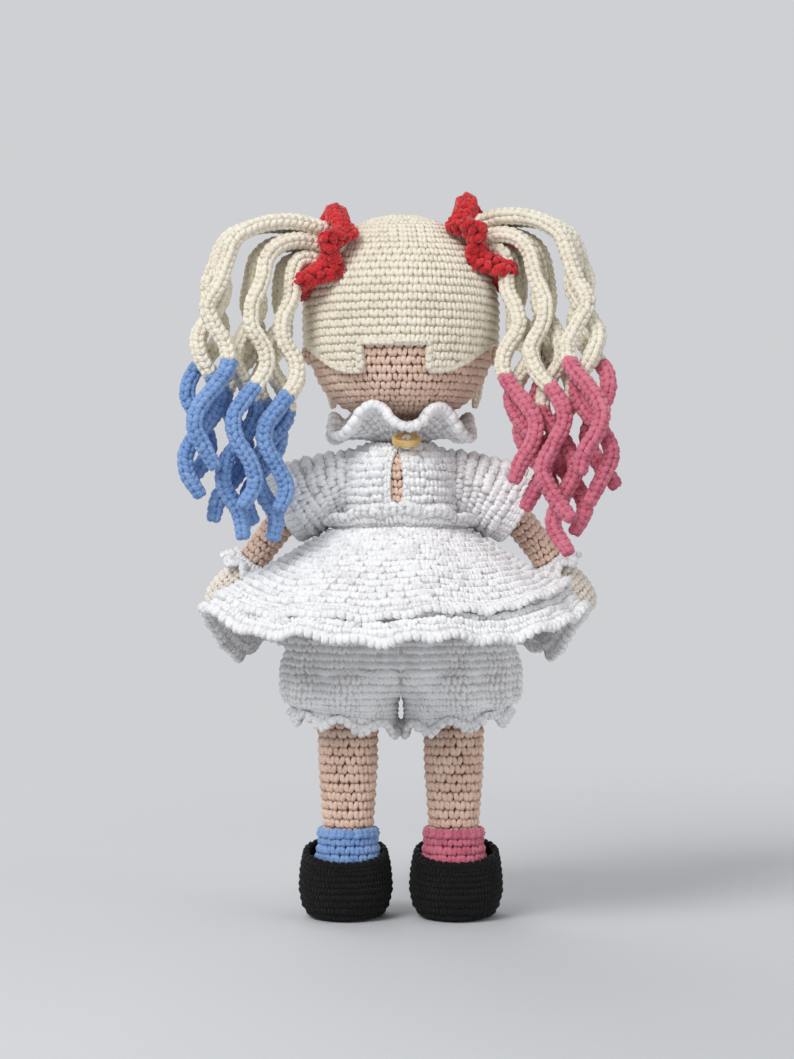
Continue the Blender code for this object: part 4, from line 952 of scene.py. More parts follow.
# The root from the head's middle, its pitch and yaw in degrees, how far out each column of curls arches
# and how far it falls, how far the curls drift back, and the colour of their dip
PIGTAILS = {
    "left": {
        "root": direction(0.73, 0.36, 0.58) * ROOT_REACH, "pitch": 25, "yaw": 22,
        "reach": (0.0165, 0.0285, 0.0428), "fall": (0.0905, 0.0955, 0.0855), "drift": 0.011, "dip": "blue",
    },
    "right": {
        "root": direction(-0.74, 0.14, 0.66) * ROOT_REACH, "pitch": 30, "yaw": 22,
        "reach": (0.0155, 0.0265, 0.0403), "fall": (0.082, 0.104, 0.091), "drift": 0.019, "dip": "pink",
    },
}
STRAND_RADIUS = 0.0027
STRAND_TIP = 0.8
STRAND_PITCH = 0.0063
LAYER_PITCH = 0.0065
STRAND_WAVE = 0.0055
WAVELENGTH = 0.044
LAYER_PHASES = [math.radians(a) for a in (20, 140, 265)]
LAYER_FALLS = (0.93, 1.0, 0.88)
STRAY_PHASE = math.radians(24)
# The arch: how it sets out and rises, in lengths and shares of its reach, and how far it comes down
ARCH_LEAD = 0.008
ARCH_LEAD_SHARE = 0.3
ARCH_RISE_SHARE = 0.1
ARCH_DROP = 0.013
FALL_ROWS = 10
FLARE = 0.1
WAVE_EASE = 0.2
DRIFT_FALL = 0.08
# The share of a curl that is left bare beside the cap, so that it swings clear
BARE_ROOT = 0.016
DIP_SHARE = 0.47


def pigtail_frame(side):
    """The directions out along the root, up, level outwards and across."""
    sizes, sign = PIGTAILS[side], SIDES[side]
    yaw, pitch = math.radians(sizes["yaw"]), math.radians(sizes["pitch"])
    level = np.array([sign * math.cos(yaw), math.sin(yaw), 0])
    across = np.array([-sign * math.sin(yaw), math.cos(yaw), 0])
    rise = np.array([0, 0, 1.0])
    out = level * math.cos(pitch) + rise * math.sin(pitch)
    up = rise * math.cos(pitch) - level * math.sin(pitch)
    return out, up, level, across


def strand_points(side, column, layer):
    """A strand from the cap, over its arch and down its waves, seen from the head's centre."""
    sizes = PIGTAILS[side]
    out, up, level, across = pigtail_frame(side)
    beside = sizes["root"] + across * (layer - 1) * LAYER_PITCH
    root = beside + up * (column - 1) * STRAND_PITCH
    tilt = np.linalg.norm(np.cross(out, root)) / np.linalg.norm(root)
    away = CAP_OUTER + 2 * GAP + STRAND_RADIUS * tilt
    nearest = root.dot(out)
    sunk = nearest - math.sqrt(max(0.0, nearest**2 - root.dot(root) + away**2))
    reach = sizes["reach"][column]
    lead = root + out * (ARCH_LEAD + reach * ARCH_LEAD_SHARE)
    base = beside + level * reach
    crest = np.array([base[0], base[1], root[2] + reach * ARCH_RISE_SHARE])
    top = np.array([base[0], base[1], root[2] - ARCH_DROP])
    points = [root - out * sunk]
    for s in (0.25, 0.5, 0.75, 1):
        t = 1 - s
        points.append(root * t**3 + lead * (3 * t * t * s) + crest * (3 * t * s * s) + top * s**3)
    fall = sizes["fall"][column] * LAYER_FALLS[layer]
    phase = LAYER_PHASES[layer] + STRAY_PHASE * math.sin(2.1 * column + 1.3 * layer + 2)
    for share in np.linspace(1 / FALL_ROWS, 1, FALL_ROWS):
        drop = fall * share
        low = sizes["root"][2] - top[2] + drop
        swing = STRAND_WAVE * ease(share / WAVE_EASE) * math.sin(TAU * low / WAVELENGTH + phase)
        points.append(top + level * (swing + FLARE * drop) - np.array([0, 0, drop]))
    points = np.array(points)
    points[:, 1] += sizes["drift"] * ease((sizes["root"][2] - points[:, 2]) / DRIFT_FALL)
    return points


def make_pigtail(side):
    for column in range(3):
        for layer in range(3):
            points = strand_points(side, column, layer) + (0, 0, HEAD_Z)
            radii = np.full(len(points), STRAND_RADIUS)
            radii[-1] *= STRAND_TIP
            surface = tube(points, radii, 220)
            v = np.linspace(0, 1, 200)
            heights = surface(np.zeros(200), v)[:, 2]
            dip_z = points[-1][2] + (points[0][2] - points[-1][2]) * DIP_SHARE
            dip = float(v[np.argmax(heights < dip_z)])
            turns = rng.uniform(-0.5, 0.5)
            node, looks = f"{side}_curl_{3 * column + layer + 1}", ["hair", PIGTAILS[side]["dip"]]
            made = cord_piece(node, surface, f"{side}_pigtail", CURL, looks, dip, turns, BARE_ROOT)
            hung(made, surface)


# Scrunchies

# How far out each sits, its ribbon's radius and ring, how these swell, and how far the ruffles sway
SCRUNCHIE_OUT = {"left": 0.0026, "right": 0.0044}
# How much flatter the ruffle lies at its top
SCRUNCHIE_FLAT = {"left": 1.2, "right": 0.8}
RUFFLES = 5
RUFFLE_STRAY = 0.8
RIBBON_RADIUS = 0.0042
RIBBON_SWELL = 0.0011
RIBBON_FLAT = 0.0013
RING_RADIUS = 0.0156
RING_SWELL = 0.0012
RING_FLAT = 0.0016
RUFFLE_SWAY = 0.0054
SWAY_FLAT = 0.6
# The ruffle's stitches: height, thickness and depth, rows and how many in each
RUFFLE_GAUGE = (0.0034, 0.0014, 0.0009, 7, 24)
# How far every point stays off the head's middle
RUFFLE_LEAST = CAP_OUTER + 0.0008
TORUS_STEP = 0.002
TORUS_SUNK = 0.0007


def torus(weave, surface, columns, rows, sign):
    """The lining of a form that closes both ways."""
    u, v = np.meshgrid(np.arange(columns) / columns, np.arange(rows) / rows)
    across = surface(u, v + TORUS_STEP) - surface(u, v - TORUS_STEP)
    out = sign * unit(np.cross(across, surface(u + TORUS_STEP, v) - surface(u - TORUS_STEP, v)))
    index = np.arange(columns * rows).reshape(rows, columns)
    faces = grid_faces(np.vstack([index, index[:1]]), True, sign < 0)
    weave.add(surface(u, v) - out * TORUS_SUNK, [faces])


def make_scrunchie(side):
    out, up, _, across = pigtail_frame(side)
    root = PIGTAILS[side]["root"]

    def bend(u, v):
        angle, slope = TAU * u, TAU * v
        ruffle = np.cos(RUFFLES * angle + RUFFLE_STRAY * np.sin(2 * angle))
        flat = SCRUNCHIE_FLAT[side] * np.clip(np.sin(angle), 0, 1)
        size = RIBBON_RADIUS + RIBBON_SWELL * ruffle - RIBBON_FLAT * flat
        ring = RING_RADIUS + RING_SWELL * np.sin(RUFFLES * angle) - RING_FLAT * flat + size * np.cos(slope)
        sway = RUFFLE_SWAY * ruffle * (0.5 + 0.5 * np.cos(slope)) * (1 - SWAY_FLAT * flat)
        stand = SCRUNCHIE_OUT[side] + RIBBON_RADIUS * np.sin(slope) + sway
        points = root + around(angle, across, up) * ring[..., None] + out * stand[..., None]
        length = np.linalg.norm(points, axis=-1, keepdims=True)
        return points * np.maximum(1, RUFFLE_LEAST / length) + (0, 0, HEAD_Z)

    weave = Weave()
    start = np.array([0.0])
    outward = bend(start, start)[0] - root - (0, 0, HEAD_Z)
    sign = 1 if normals(bend, start, start + 0.0001)[0].dot(outward) > 0 else -1
    torus(weave, bend, 72, 20, sign)
    height, thick, sunk, rows, count = RUFFLE_GAUGE
    cells = stitch_cells(bend, height, rows=rows, count=count, drift=0.3)
    work(weave, bend, cells, thick, -sunk, sign, jitter=0.08, **RUFFLED)
    made = shown(f"{side}_scrunchie_ruffle", weave, f"{side}_pigtail", "red", [f"{side}_scrunchie"])


# Torso and bodice

CHEST_RADIUS = 0.0198
NECK_RADIUS = 0.008
WAIST_RADIUS = 0.0187
HIP_RADIUS = 0.025
SHOULDER_DEPTH = 0.008
SHOULDER_Z = NECK_FOOT_Z - SHOULDER_DEPTH
SHOULDER_WIDE = CHEST_RADIUS - NECK_RADIUS
NECK_TOP_Z = HEAD_FOOT_Z + 0.0027
BODICE_OUTER = 0.0219
BODICE_GROW = 0.0012
BODICE_TURN = math.radians(76)
# The share of the bodice that is below its shoulders
BODICE_STRAIGHT = 0.59
# The slit at the back: its middle, half widths, foot and height, and what of the torso it shows
SLIT_X = 0.0015
SLIT_LEAST = 0.0006
SLIT_SWELL = 0.0021
SLIT_Z = 0.1535
SLIT_HEIGHT = 0.0255
SLIT_REACH = 0.0045
# How far in from the slit its edge chains lie, as a share of the way round
CHAIN_INSET = 0.008
# Their radius, and the height, thickness and lift of their stitches
CHAIN_RADIUS = 0.0006
CHAIN_GAUGE = (0.0027, 0.00075, 0.0001)
TORSO_LOW = [
    (WAIST_RADIUS, WAIST_Z), (0.0219, 0.1315), (HIP_RADIUS, SEAT_Z + 0.015),
    (HIP_RADIUS - 0.002, SEAT_Z + 0.006), (HIP_RADIUS - 0.006, SEAT_Z), (0.0005, SEAT_Z),
]


def in_sight(points):
    """The neck, and the strip behind the slit of the bodice."""
    x, y, z = points[..., 0], points[..., 1], points[..., 2]
    return (z > NECK_FOOT_Z - 0.001) | ((np.abs(x - SLIT_X) < SLIT_REACH) & (y > 0) & (z > WAIST_Z))


def make_torso():
    outline = [(0.0005, NECK_TOP_Z), (NECK_RADIUS - 0.0004, NECK_TOP_Z)]
    for angle in np.linspace(math.pi / 2, 0, 6):
        outline.append(
            (NECK_RADIUS + SHOULDER_WIDE * math.cos(angle), SHOULDER_Z + SHOULDER_DEPTH * math.sin(angle))
        )
    stuffed("torso", turned(outline + TORSO_LOW), "torso", keep=in_sight)


def bodice(u, v):
    share = 1 - np.clip(v, 0, 1)
    angle = BODICE_TURN * np.clip((share - BODICE_STRAIGHT) / (1 - BODICE_STRAIGHT), 0, 1)
    straight = share < BODICE_STRAIGHT
    shoulder = NECK_RADIUS + (SHOULDER_WIDE + BODICE_GROW) * np.cos(angle)
    radius = np.where(straight, CHEST_RADIUS + BODICE_GROW, shoulder)
    curved = SHOULDER_Z + (SHOULDER_DEPTH + BODICE_GROW) * np.sin(angle)
    height = np.where(straight, WAIST_Z + (SHOULDER_Z - WAIST_Z) * share / BODICE_STRAIGHT, curved)
    slit = SLIT_LEAST + SLIT_SWELL * np.sin(math.pi * np.clip((height - SLIT_Z) / SLIT_HEIGHT, 0, 1)) ** 0.5
    start = math.pi / 2 - SLIT_X / CHEST_RADIUS + slit / radius
    return polar(radius, start + (TAU - 2 * slit / radius) * u, height)


def make_bodice():
    cloth(
        "bodice", bodice, ["torso_cover"], closed=False, held="stretched", sign=1, lift=DRESS_LIFT,
        jitter=DRESS_JITTER,
    )
    weave = Weave()
    heights = np.linspace(0.03, 0.97, 24)
    height, thick, lift = CHAIN_GAUGE
    for edge in (CHAIN_INSET, 1 - CHAIN_INSET):
        chain = tube(bodice(np.full_like(heights, edge), heights), np.full(len(heights), CHAIN_RADIUS), 60)
        cells = stitch_cells(chain, height, count=2, drift=0)
        work(weave, chain, cells, thick, lift, facing(chain), jitter=0.06, **SLIT_CHAIN)
    shown("slit_edge_chains", weave, "torso", "white")


# Arms

ARM_LIFT = math.radians(-13)
ARM_ROOT_X = CHEST_RADIUS - 0.0017
# Paths are in reach and drop from the shoulder
ARM_PATH = [
    (0, 0), (0.0052, 0), (0.0105, 0.0022), (0.0175, 0.0092), (0.0276, 0.021), (0.0345, 0.0301),
    (0.0405, 0.039),
]
ARM_RADII = [0.0053, 0.0053, 0.0052, 0.0052, 0.0052, 0.005, 0.0048]
# How much of the arm the sleeve hides
ARM_HIDDEN = 0.0105
HAND_PATH = [(0.0405, 0.039), (0.0432, 0.0425), (0.0483, 0.0485), (0.0527, 0.0535), (0.0553, 0.0563)]
HAND_RADII = [0.0046, 0.0062, 0.0068, 0.0056, 0.0022]
FORTH = np.array([0, 1, 0])
CUFF_RADIUS = 0.0056
CUFF_FLARE = 0.0046
CUFF_RUFFLE = 0.0019
CUFF_BACK = 0.0032
CUFF_LENGTH = 0.0042
SLEEVE_SUNK = 0.0068
SLEEVE_REACH = 0.0265
SLEEVE_PITCH = math.radians(-6)
SLEEVE_BEND = math.radians(38)
SLEEVE_BEND_END = 0.7
SLEEVE_RADIUS = 0.0099
SLEEVE_FLARE = 0.0045
SLEEVE_DROP = 0.004
SLEEVE_FALL = 0.0118
SLEEVE_LIFT = 0.0004
# Two places out from the middle, between the torso and the arm, given with the sleeve's blend; a sleeve with
# a blend is left on no body
SLEEVE_BLEND = (0.0185, 0.034)


def from_shoulder(points, sign):
    """Points beside a shoulder, with the arm's lift, in the doll's place."""
    x, y, z = points[..., 0], points[..., 1], points[..., 2]
    c, s = math.cos(ARM_LIFT), math.sin(ARM_LIFT)
    return np.stack([x + sign * ARM_ROOT_X, y * c - z * s, y * s + z * c + ARM_Z], -1)


def limb(path, radii, sign):
    points = np.array([(sign * reach, 0, -drop) for reach, drop in path])
    return tube(from_shoulder(points, sign), radii)


def make_arm(side):
    sign, body = SIDES[side], f"{side}_arm"
    hidden = ARM_ROOT_X + ARM_HIDDEN
    arm = limb(ARM_PATH, ARM_RADII, sign)
    stuffed(body, arm, body, keep=lambda points: np.abs(points[..., 0]) > hidden, drift=0.2)
    stuffed(f"{side}_mitten", limb(HAND_PATH, HAND_RADII, sign), body, "cream")
    make_cuff(side, sign, body)
    make_sleeve(side, sign, body)


def make_cuff(side, sign, body):
    (near, high), (far, low) = ARM_PATH[-2:]
    forth = direction(sign * (far - near), 0, high - low)
    sideways = np.cross(forth, FORTH)
    end = np.array([sign * far, 0, -low])

    def bend(angle, v):
        ruffle = np.cos(7 * angle) * CUFF_RUFFLE * v
        radius = CUFF_RADIUS + CUFF_FLARE * v + ruffle / 2
        slide = CUFF_BACK - CUFF_LENGTH * v - ruffle
        ring = around(angle, FORTH, sideways) * radius[..., None]
        return from_shoulder(end - forth * slide[..., None] + ring, sign)

    cloth(f"{side}_cuff_frill", draped(bend), [f"{side}_arm_cover"], body)


def make_sleeve(side, sign, body):
    start = BODICE_OUTER - ARM_ROOT_X - SLEEVE_SUNK
    end = SLEEVE_REACH + CHEST_RADIUS - ARM_ROOT_X

    def bend(angle, v):
        pitch = SLEEVE_PITCH + SLEEVE_BEND * ease(v / SLEEVE_BEND_END)
        lean = np.stack([sign * np.sin(pitch), np.zeros_like(pitch), np.cos(pitch)], -1)
        reach = start + (end - start) * v
        middle = np.stack([sign * reach, np.zeros_like(reach), -SLEEVE_DROP - SLEEVE_FALL * v**1.3], -1)
        ring = around(angle, FORTH, lean) * (SLEEVE_RADIUS + SLEEVE_FLARE * ease(v))[..., None]
        return from_shoulder(middle + ring, sign)

    cloth(
        f"{side}_sleeve", draped(bend), ["bodice_fabric"], body, span=(0, 0.84), lift=SLEEVE_LIFT,
        blend=("torso", body, *((sign * out, 0, ARM_Z) for out in SLEEVE_BLEND)), jitter=DRESS_JITTER,
        drift=0.5,
    )


# Collar and button

COLLAR_LOBES = 6
COLLAR_TURN = math.radians(95)
COLLAR_RADIUS = 0.0091
COLLAR_WIDE = 0.0185
COLLAR_WAVE = 0.0047
COLLAR_Z = 0.1823
COLLAR_RISE = 0.006
COLLAR_RISE_MORE = 0.0046
# The button's seat and tilt, its outline as (radius, height), and its thread
BUTTON_SEAT = (-0.002, 0.0178)
BUTTON_TILT = math.radians(-20)
BUTTON_OUTLINE = [
    (TIP_RADIUS, 0.0039), (0.0034, 0.0039), (0.0041, 0.0043), (0.005, 0.0045), (0.0055, 0.004),
    (0.0055, 0.0022), (0.005, 0.0017), (TIP_RADIUS, 0.0017),
]
BUTTON_HOLES = 4
HOLE_REACH = 0.0013
HOLE_TURN = 0.4
# Thread from a hole over the button's middle: share of the hole's reach, and height
HOLE_THREAD = [(1, 0.0034), (0.9, 0.0042), (0, 0.0046), (-0.9, 0.0042)]
# How far the disc's seat is off the dress, and the shank's radius, thread and coils
BUTTON_OFF = 0.0012
SHANK_RADIUS = 0.0015
SHANK_THREAD = 0.0004
SHANK_LEVELS = (0.0003, 0.0009, 0.0014)


def collar(angle, v):
    lobe = -np.cos(COLLAR_LOBES * (angle - COLLAR_TURN))
    lobe = np.sign(lobe) * np.abs(lobe) ** 0.75
    radius = COLLAR_RADIUS + COLLAR_WIDE * v - COLLAR_WAVE * 0.3 * lobe * v**2
    rise = COLLAR_RISE + COLLAR_RISE_MORE * np.sin(angle) ** 2
    return polar(radius, angle, COLLAR_Z + rise * np.sqrt(v) + COLLAR_WAVE * lobe * v**1.3)


def make_collar():
    cloth("collar", draped(collar), ["torso_cover"], jitter=0.06)


def make_button():
    """A turned button with four holes on its thread shank."""
    c, s = math.cos(BUTTON_TILT), math.sin(BUTTON_TILT)
    axes = np.array([(1, 0, 0), (0, c, s), (0, -s, c)])
    proud = BODICE_OUTER - CHEST_RADIUS
    share = (math.hypot(*BUTTON_SEAT) - NECK_RADIUS) / (SHOULDER_WIDE + proud)
    foot = SHOULDER_Z + (SHOULDER_DEPTH + proud) * math.sqrt(1 - share**2) + GAP
    seat = np.array([*BUTTON_SEAT, foot]) + axes[2] * BUTTON_OFF
    disc, thread = Weave(), Weave()
    lining(disc, seated(BUTTON_OUTLINE, 80, seat, axes), 48, 60)
    shown("button_disc", disc, "torso", "wood", ["neck_button"])
    for turn in range(BUTTON_HOLES):
        hole = HOLE_REACH * around(np.array(TAU * turn / BUTTON_HOLES + HOLE_TURN), axes[0], axes[1])
        line = seat + np.array([hole * share + axes[2] * height for share, height in HOLE_THREAD])
        lining(thread, tube(line, [THREAD_RADIUS] * len(line), 24), 8, 12, tone=THREAD_TONE)
    turns = np.linspace(0, TAU, 25)
    for level in SHANK_LEVELS:
        ring = seat + polar(SHANK_RADIUS, turns, np.full(25, level)) @ axes
        coil = tube(ring, np.full(25, SHANK_THREAD), 60, across=(0, 0, 1))
        lining(thread, coil, 8, 48, tone=THREAD_TONE)
    shown("button_thread", thread, "torso", "white", ["button_loop"])


# Skirt

# Radii and drops of its hem, its folds, and how the arms press it in
SKIRT_WAIST = BODICE_OUTER + GAP + 0.0008
SKIRT_SIDE = 0.0717
SKIRT_SIDE_MORE = 0.0027
SKIRT_BACK = 0.066
SKIRT_DROP = 0.0235
SKIRT_BACK_DROP = 0.0355
SKIRT_FRONT_DROP = 0.0425
SKIRT_FOLDS = 10
SKIRT_FOLD = 0.0022
SKIRT_FOLD_TURN = 1.4
SKIRT_SUNK = 0.0008
VALLEY_TURN = math.radians(14)
VALLEY_HALF = math.radians(36)
VALLEY_IN = 0.0085
VALLEY_DOWN = 0.0165
UPPER_FROM = 0.875
UPPER_LONG = 0.1
UPPER_HIGHER = 0.09
UPPER_LIFT = 0.0014
UPPER_STAND = 0.0006
UPPER_STAND_RIGHT = 0.0034
UPPER_RUFFLE = 0.0009
HEM_FROM = 0.985
HEM_LONG = 0.11
HEM_RUFFLE = 0.0013
# The band of petals at the waist
PETALS = 6.5
PETAL_RISE = 0.0060
PETAL_RISE_MORE = 0.0040
PETAL_OUT = 0.0052
PETAL_OUT_MORE = 0.0022
PETAL_SUNK = 0.0012
PETAL_RADIUS = BODICE_OUTER + 0.001
PETAL_Z = WAIST_Z + 0.0004


def arm_valley(angle):
    """1 under the middle of an arm, falling to 0 away from it."""
    best = np.zeros_like(angle)
    for middle in (-VALLEY_TURN, math.pi + VALLEY_TURN):
        off = np.abs((angle - middle + math.pi) % TAU - math.pi) / VALLEY_HALF
        best = np.maximum(best, np.cos(math.pi / 2 * np.minimum(off, 1)) ** 2)
    return best


def skirt_point(angle, share, lift=0.0):
    """A place on the skirt from its waist, 0, to its hem, 1, stood off its surface by lift."""
    share = np.maximum(share, 0)
    back = np.sin(angle) ** 2
    side = SKIRT_SIDE + SKIRT_SIDE_MORE * np.cos(angle)
    reach = side + (SKIRT_BACK - side) * back - SKIRT_WAIST
    low = np.where(np.sin(angle) > 0, SKIRT_BACK_DROP, SKIRT_FRONT_DROP)
    drop = SKIRT_DROP + (low - SKIRT_DROP) * (1 - (1 - back) ** 3)
    valley = arm_valley(angle)
    wave = np.cos(SKIRT_FOLDS * angle + 0.7 * np.sin(2 * angle) + SKIRT_FOLD_TURN)
    fold = wave * SKIRT_FOLD * share**1.5 * (1 - valley)
    radius = SKIRT_WAIST + reach * share - VALLEY_IN * valley * share**2 + fold / 2
    fallen = drop * share ** (1 + 0.35 * back) + VALLEY_DOWN * valley * share**1.5
    slope = np.arctan2(drop, reach)
    height = WAIST_Z - SKIRT_SUNK - fallen + fold / 2 + lift * np.cos(slope)
    return polar(radius + lift * np.sin(slope), angle, height)


def upper_frill(angle, v):
    right = ((1 - np.cos(angle)) / 2) ** 2
    stand = UPPER_STAND + UPPER_STAND_RIGHT * right + UPPER_RUFFLE * np.cos(26 * angle + np.sin(3 * angle))
    lift = UPPER_LIFT + stand * v * (1 - 0.8 * arm_valley(angle))
    return skirt_point(angle, UPPER_FROM - UPPER_HIGHER * right + UPPER_LONG * v, lift)


def hem_frill(angle, v):
    ruffle = HEM_RUFFLE * np.cos(24 * angle + np.sin(3 * angle)) * v
    return skirt_point(angle, HEM_FROM + HEM_LONG * v, ruffle)


def waist_frill(angle, v):
    petal = np.abs(np.cos(PETALS * (angle - math.pi / 2) + 0.5 * np.sin(angle * 2))) ** 0.6
    rise = (PETAL_RISE + PETAL_RISE_MORE * petal) * (0.3 + 0.7 * np.sin(angle) ** 2) - PETAL_SUNK
    radius = PETAL_RADIUS + (PETAL_OUT + PETAL_OUT_MORE * petal) * v**0.6
    return polar(radius, angle, PETAL_Z + rise * v**1.7)


def make_skirt():
    """The skirt and its three frills, from the waist down."""
    cloth("waist_frill", draped(waist_frill), ["bodice_fabric"], sign=1)
    cloth(
        "skirt", lambda u, v: skirt_point(TAU * u, v), ["bodice_fabric"], sign=1, lift=DRESS_LIFT,
        jitter=0.24, drift=0.5,
    )
    cloth("skirt_frill", draped(upper_frill), ["skirt_fabric"], sign=1)
    cloth("hem_frill", draped(hem_frill), ["skirt_fabric"], sign=1)


# Bloomers

# Each row's middle, half width, half length, height and tilt, from the waist to the legs
BLOOMER_ROWS = np.array([
    (0, 0.0204, 0.0204, 0.146, 0), (0, 0.0274, 0.024, 0.1336, 0),
    (0, 0.0371, 0.0281, 0.1161, 0), (0.0027, 0.0409, 0.0295, 0.0962, 0),
    (0.0170, 0.0266, 0.0286, 0.0909, 0), (0.0226, 0.021, 0.0266, 0.0855, 0),
    (0.0224, 0.0203, 0.0236, 0.0822, 0.00125), (0.0206, 0.0182, 0.0186, 0.0795, 0.0025),
])
JOINED_Z = BLOOMER_ROWS[3][3]
PARTED_Z = BLOOMER_ROWS[5][3]
BLOOMER_OUTER = np.column_stack([BLOOMER_ROWS[:, 0] + BLOOMER_ROWS[:, 1], BLOOMER_ROWS[:, 2:4]])
BLOOMER_TABLE = spaced(BLOOMER_ROWS, travelled(BLOOMER_OUTER), 160)
FOLDS = 8
FOLD_DEPTH = 0.045
BLOOMER_LIFT = 0.0001
# No stitch is nearer to the middle plane than this
BLOOMER_APART = 0.0002
FRILL_X = 0.0206
FRILL_Z = 0.0798
FRILL_RADIUS = 0.0176
FRILL_FLARE = 0.0034
FRILL_DROP = 0.0052
FRILL_RUFFLE = 0.0022
FRILL_LEAN = 0.0025


def bloomer_half(u, v, sign):
    """One half: above the fork it closes on the middle plane, and below it round its own leg."""
    middle, wide, long, z, lean = looked_up(BLOOMER_TABLE, v)
    c, s = np.cos(TAU * u), np.sin(TAU * u)
    share = (1 + c) / 2
    joined_x = (middle + wide) * share
    level = np.clip(1 - ((joined_x - middle) / wide) ** 2, 0, 1)
    joined_y = long * np.sqrt(level) * np.where(s >= 0, 1, -1)
    parted = np.clip((JOINED_Z - z) / (JOINED_Z - PARTED_Z), 0, 1)
    x = joined_x + (middle + wide * c - joined_x) * parted
    y = joined_y + (long * s - joined_y) * parted
    puffed = np.clip((v - 0.2) / 0.3, 0, 1) * np.clip((1.02 - v) / 0.2, 0, 1)
    fold = 1 + FOLD_DEPTH * puffed * np.cos(FOLDS * TAU * u + 1.3 * np.sin(TAU * u))
    return np.stack([sign * np.maximum(x * fold, 0), y * fold, z + lean * c], -1)


def bloomer_frill(angle, v, sign):
    ruffle = np.cos(8 * angle + np.sin(angle)) * FRILL_RUFFLE * v
    height = FRILL_Z + FRILL_LEAN * sign * np.cos(angle) - FRILL_DROP * v + ruffle
    return polar(FRILL_RADIUS + FRILL_FLARE * v + ruffle / 2, angle, height) + (sign * FRILL_X, 0, 0)


def make_bloomers():
    for side, sign in SIDES.items():
        cloth(
            f"{side}_bloomer", lambda u, v, sign=sign: bloomer_half(u, v, sign), ["torso_cover"],
            nodes=["bloomers"] if side == "left" else (), lift=BLOOMER_LIFT, sign=sign, jitter=0.1, drift=0.1,
            keep=lambda points, sign=sign: points[..., 0] * sign > BLOOMER_APART,
        )
        cloth(
            f"{side}_bloomer_frill", draped(bloomer_frill, sign), [f"{side}_bloomer_fabric"], sign=1,
        )


# Legs and feet

LEG_X = 0.0203
LEG_OUTLINE = [
    (0.0005, 0.104), (0.0081, 0.1025), (0.0115, 0.098), (0.0107, 0.081), (0.0104, 0.058), (0.0096, 0.0475),
    (0.0088, 0.037), (0.0088, 0.0228), (0.0005, 0.0228),
]
SHOE_X = 0.0213
# Rings of shoe and sock: half width, half length, middle y, height and tilt
SHOE_ROWS = [
    (0.001, 0.001, -0.0065, 0.0009, 0), (0.0112, 0.0172, -0.0065, 0.0009, 0),
    (0.0137, 0.0197, -0.0065, 0.0019, 0), (0.0156, 0.0218, -0.0065, 0.0051, 0),
    (0.0167, 0.0226, -0.0065, 0.0100, 0.0004), (0.0167, 0.0216, -0.0060, 0.0145, 0.0012),
    (0.0160, 0.0194, -0.0043, 0.0204, 0.0020), (0.0148, 0.0148, 0, 0.0258, 0.0035),
]
SOCK_ROWS = [
    (0.0005, 0.0005, -0.0065, 0.0041, 0), (0.0113, 0.017, -0.0065, 0.0041, 0),
    (0.0134, 0.0193, -0.0065, 0.0086, 0), (0.0131, 0.0178, -0.0058, 0.0149, 0),
    (0.0122, 0.0122, 0, 0.022, 0), (0.0112, 0.0112, 0, 0.0276, 0),
    (0.0103, 0.0103, 0, 0.0325, 0), (0.0098, 0.0098, 0, 0.034, 0), (0.0096, 0.0096, 0, 0.0352, 0),
]
# Above this height the sock follows the leg, which stands this much further in
ANKLE_Z = 0.021
ANKLE_IN = 0.001
SOCKS = {"left": "blue", "right": "pink"}
# A sock's stitches: height, width and thickness, how deep the lining and they lie, the share of its
# length that shows, and its edge chain's place, width, thickness and lift
SOCK_GAUGE = (0.0032, 0.0038, 0.00105)
SOCK_SUNK = (0.0007, 0.0005)
SOCK_SPAN = (0.45, 0.93)
SOCK_EDGE = (0.955, 0.0026, 0.0012)
SOCK_EDGE_LIFT = 0.0003


def foot_form(rows, sign, ankle=0.0):
    """A form from a foot's rings, that stands in at its ankle by this much."""
    placed = []
    for wide, long, y, z, lean in rows:
        placed.append((0 if z < ANKLE_Z else -sign * ankle, y, wide, long, z, -lean))
    return rings(placed, (sign * SHOE_X, 0, 0))


def make_leg(side):
    sign = SIDES[side]
    stuffed(f"{side}_leg", turned(LEG_OUTLINE, (sign * LEG_X, 0, 0)), "torso", drift=0.2)
    sock = foot_form(SOCK_ROWS, sign, ANKLE_IN)
    weave, outward = Weave(), facing(sock)
    height, width, thick = SOCK_GAUGE
    core, sunk = SOCK_SUNK
    lining(weave, sock, 32, 30, -core, sign=outward)
    cells = stitch_cells(sock, height, width, span=SOCK_SPAN, drift=0.3)
    work(weave, sock, cells, thick, -sunk, outward)
    edging(weave, sock, *SOCK_EDGE, outward, lift=SOCK_EDGE_LIFT)
    shown(f"{side}_sock_cover", weave, "torso", SOCKS[side], [f"{side}_sock"])
    cloth(
        f"{side}_shoe", foot_form(SHOE_ROWS, sign), [f"{side}_sock_cover"], slot="black", held="stretched",
        span=(0.36, 1), lift=DRESS_LIFT, jitter=0.1,
    )


def stand_ins():
    """CAD nodes that stay: the rod in the neck and the insoles."""
    for name, slot in (("neck_rod", "wood"), ("left_insole", "board"), ("right_insole", "board")):
        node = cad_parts[name]
        node.data.materials.clear()
        node.data.materials.append(MATERIALS[slot])


# Camera, light and floor

AIM = Vector((0, 0, 0.15))
# Lights: place, size and power
LIGHTS = {
    "key": ((0.8, 1.15, 1.35), 0.8, 21.0),
    "fill": ((-1.3, 0.9, 0.5), 1.0, 4.0),
    "front": ((0.5, -1.5, 0.9), 1.2, 11.0),
}
BACKDROP = (0.62, 0.63, 0.65, 1)
SKY = (0.95, 0.97, 1.0, 1)
SKY_STRENGTH = 0.44
FLOOR_SIDE = 30.0
FLOOR_DARK = (0.60, 0.61, 0.63, 1)
FLOOR_PALE = (0.64, 0.65, 0.67, 1)
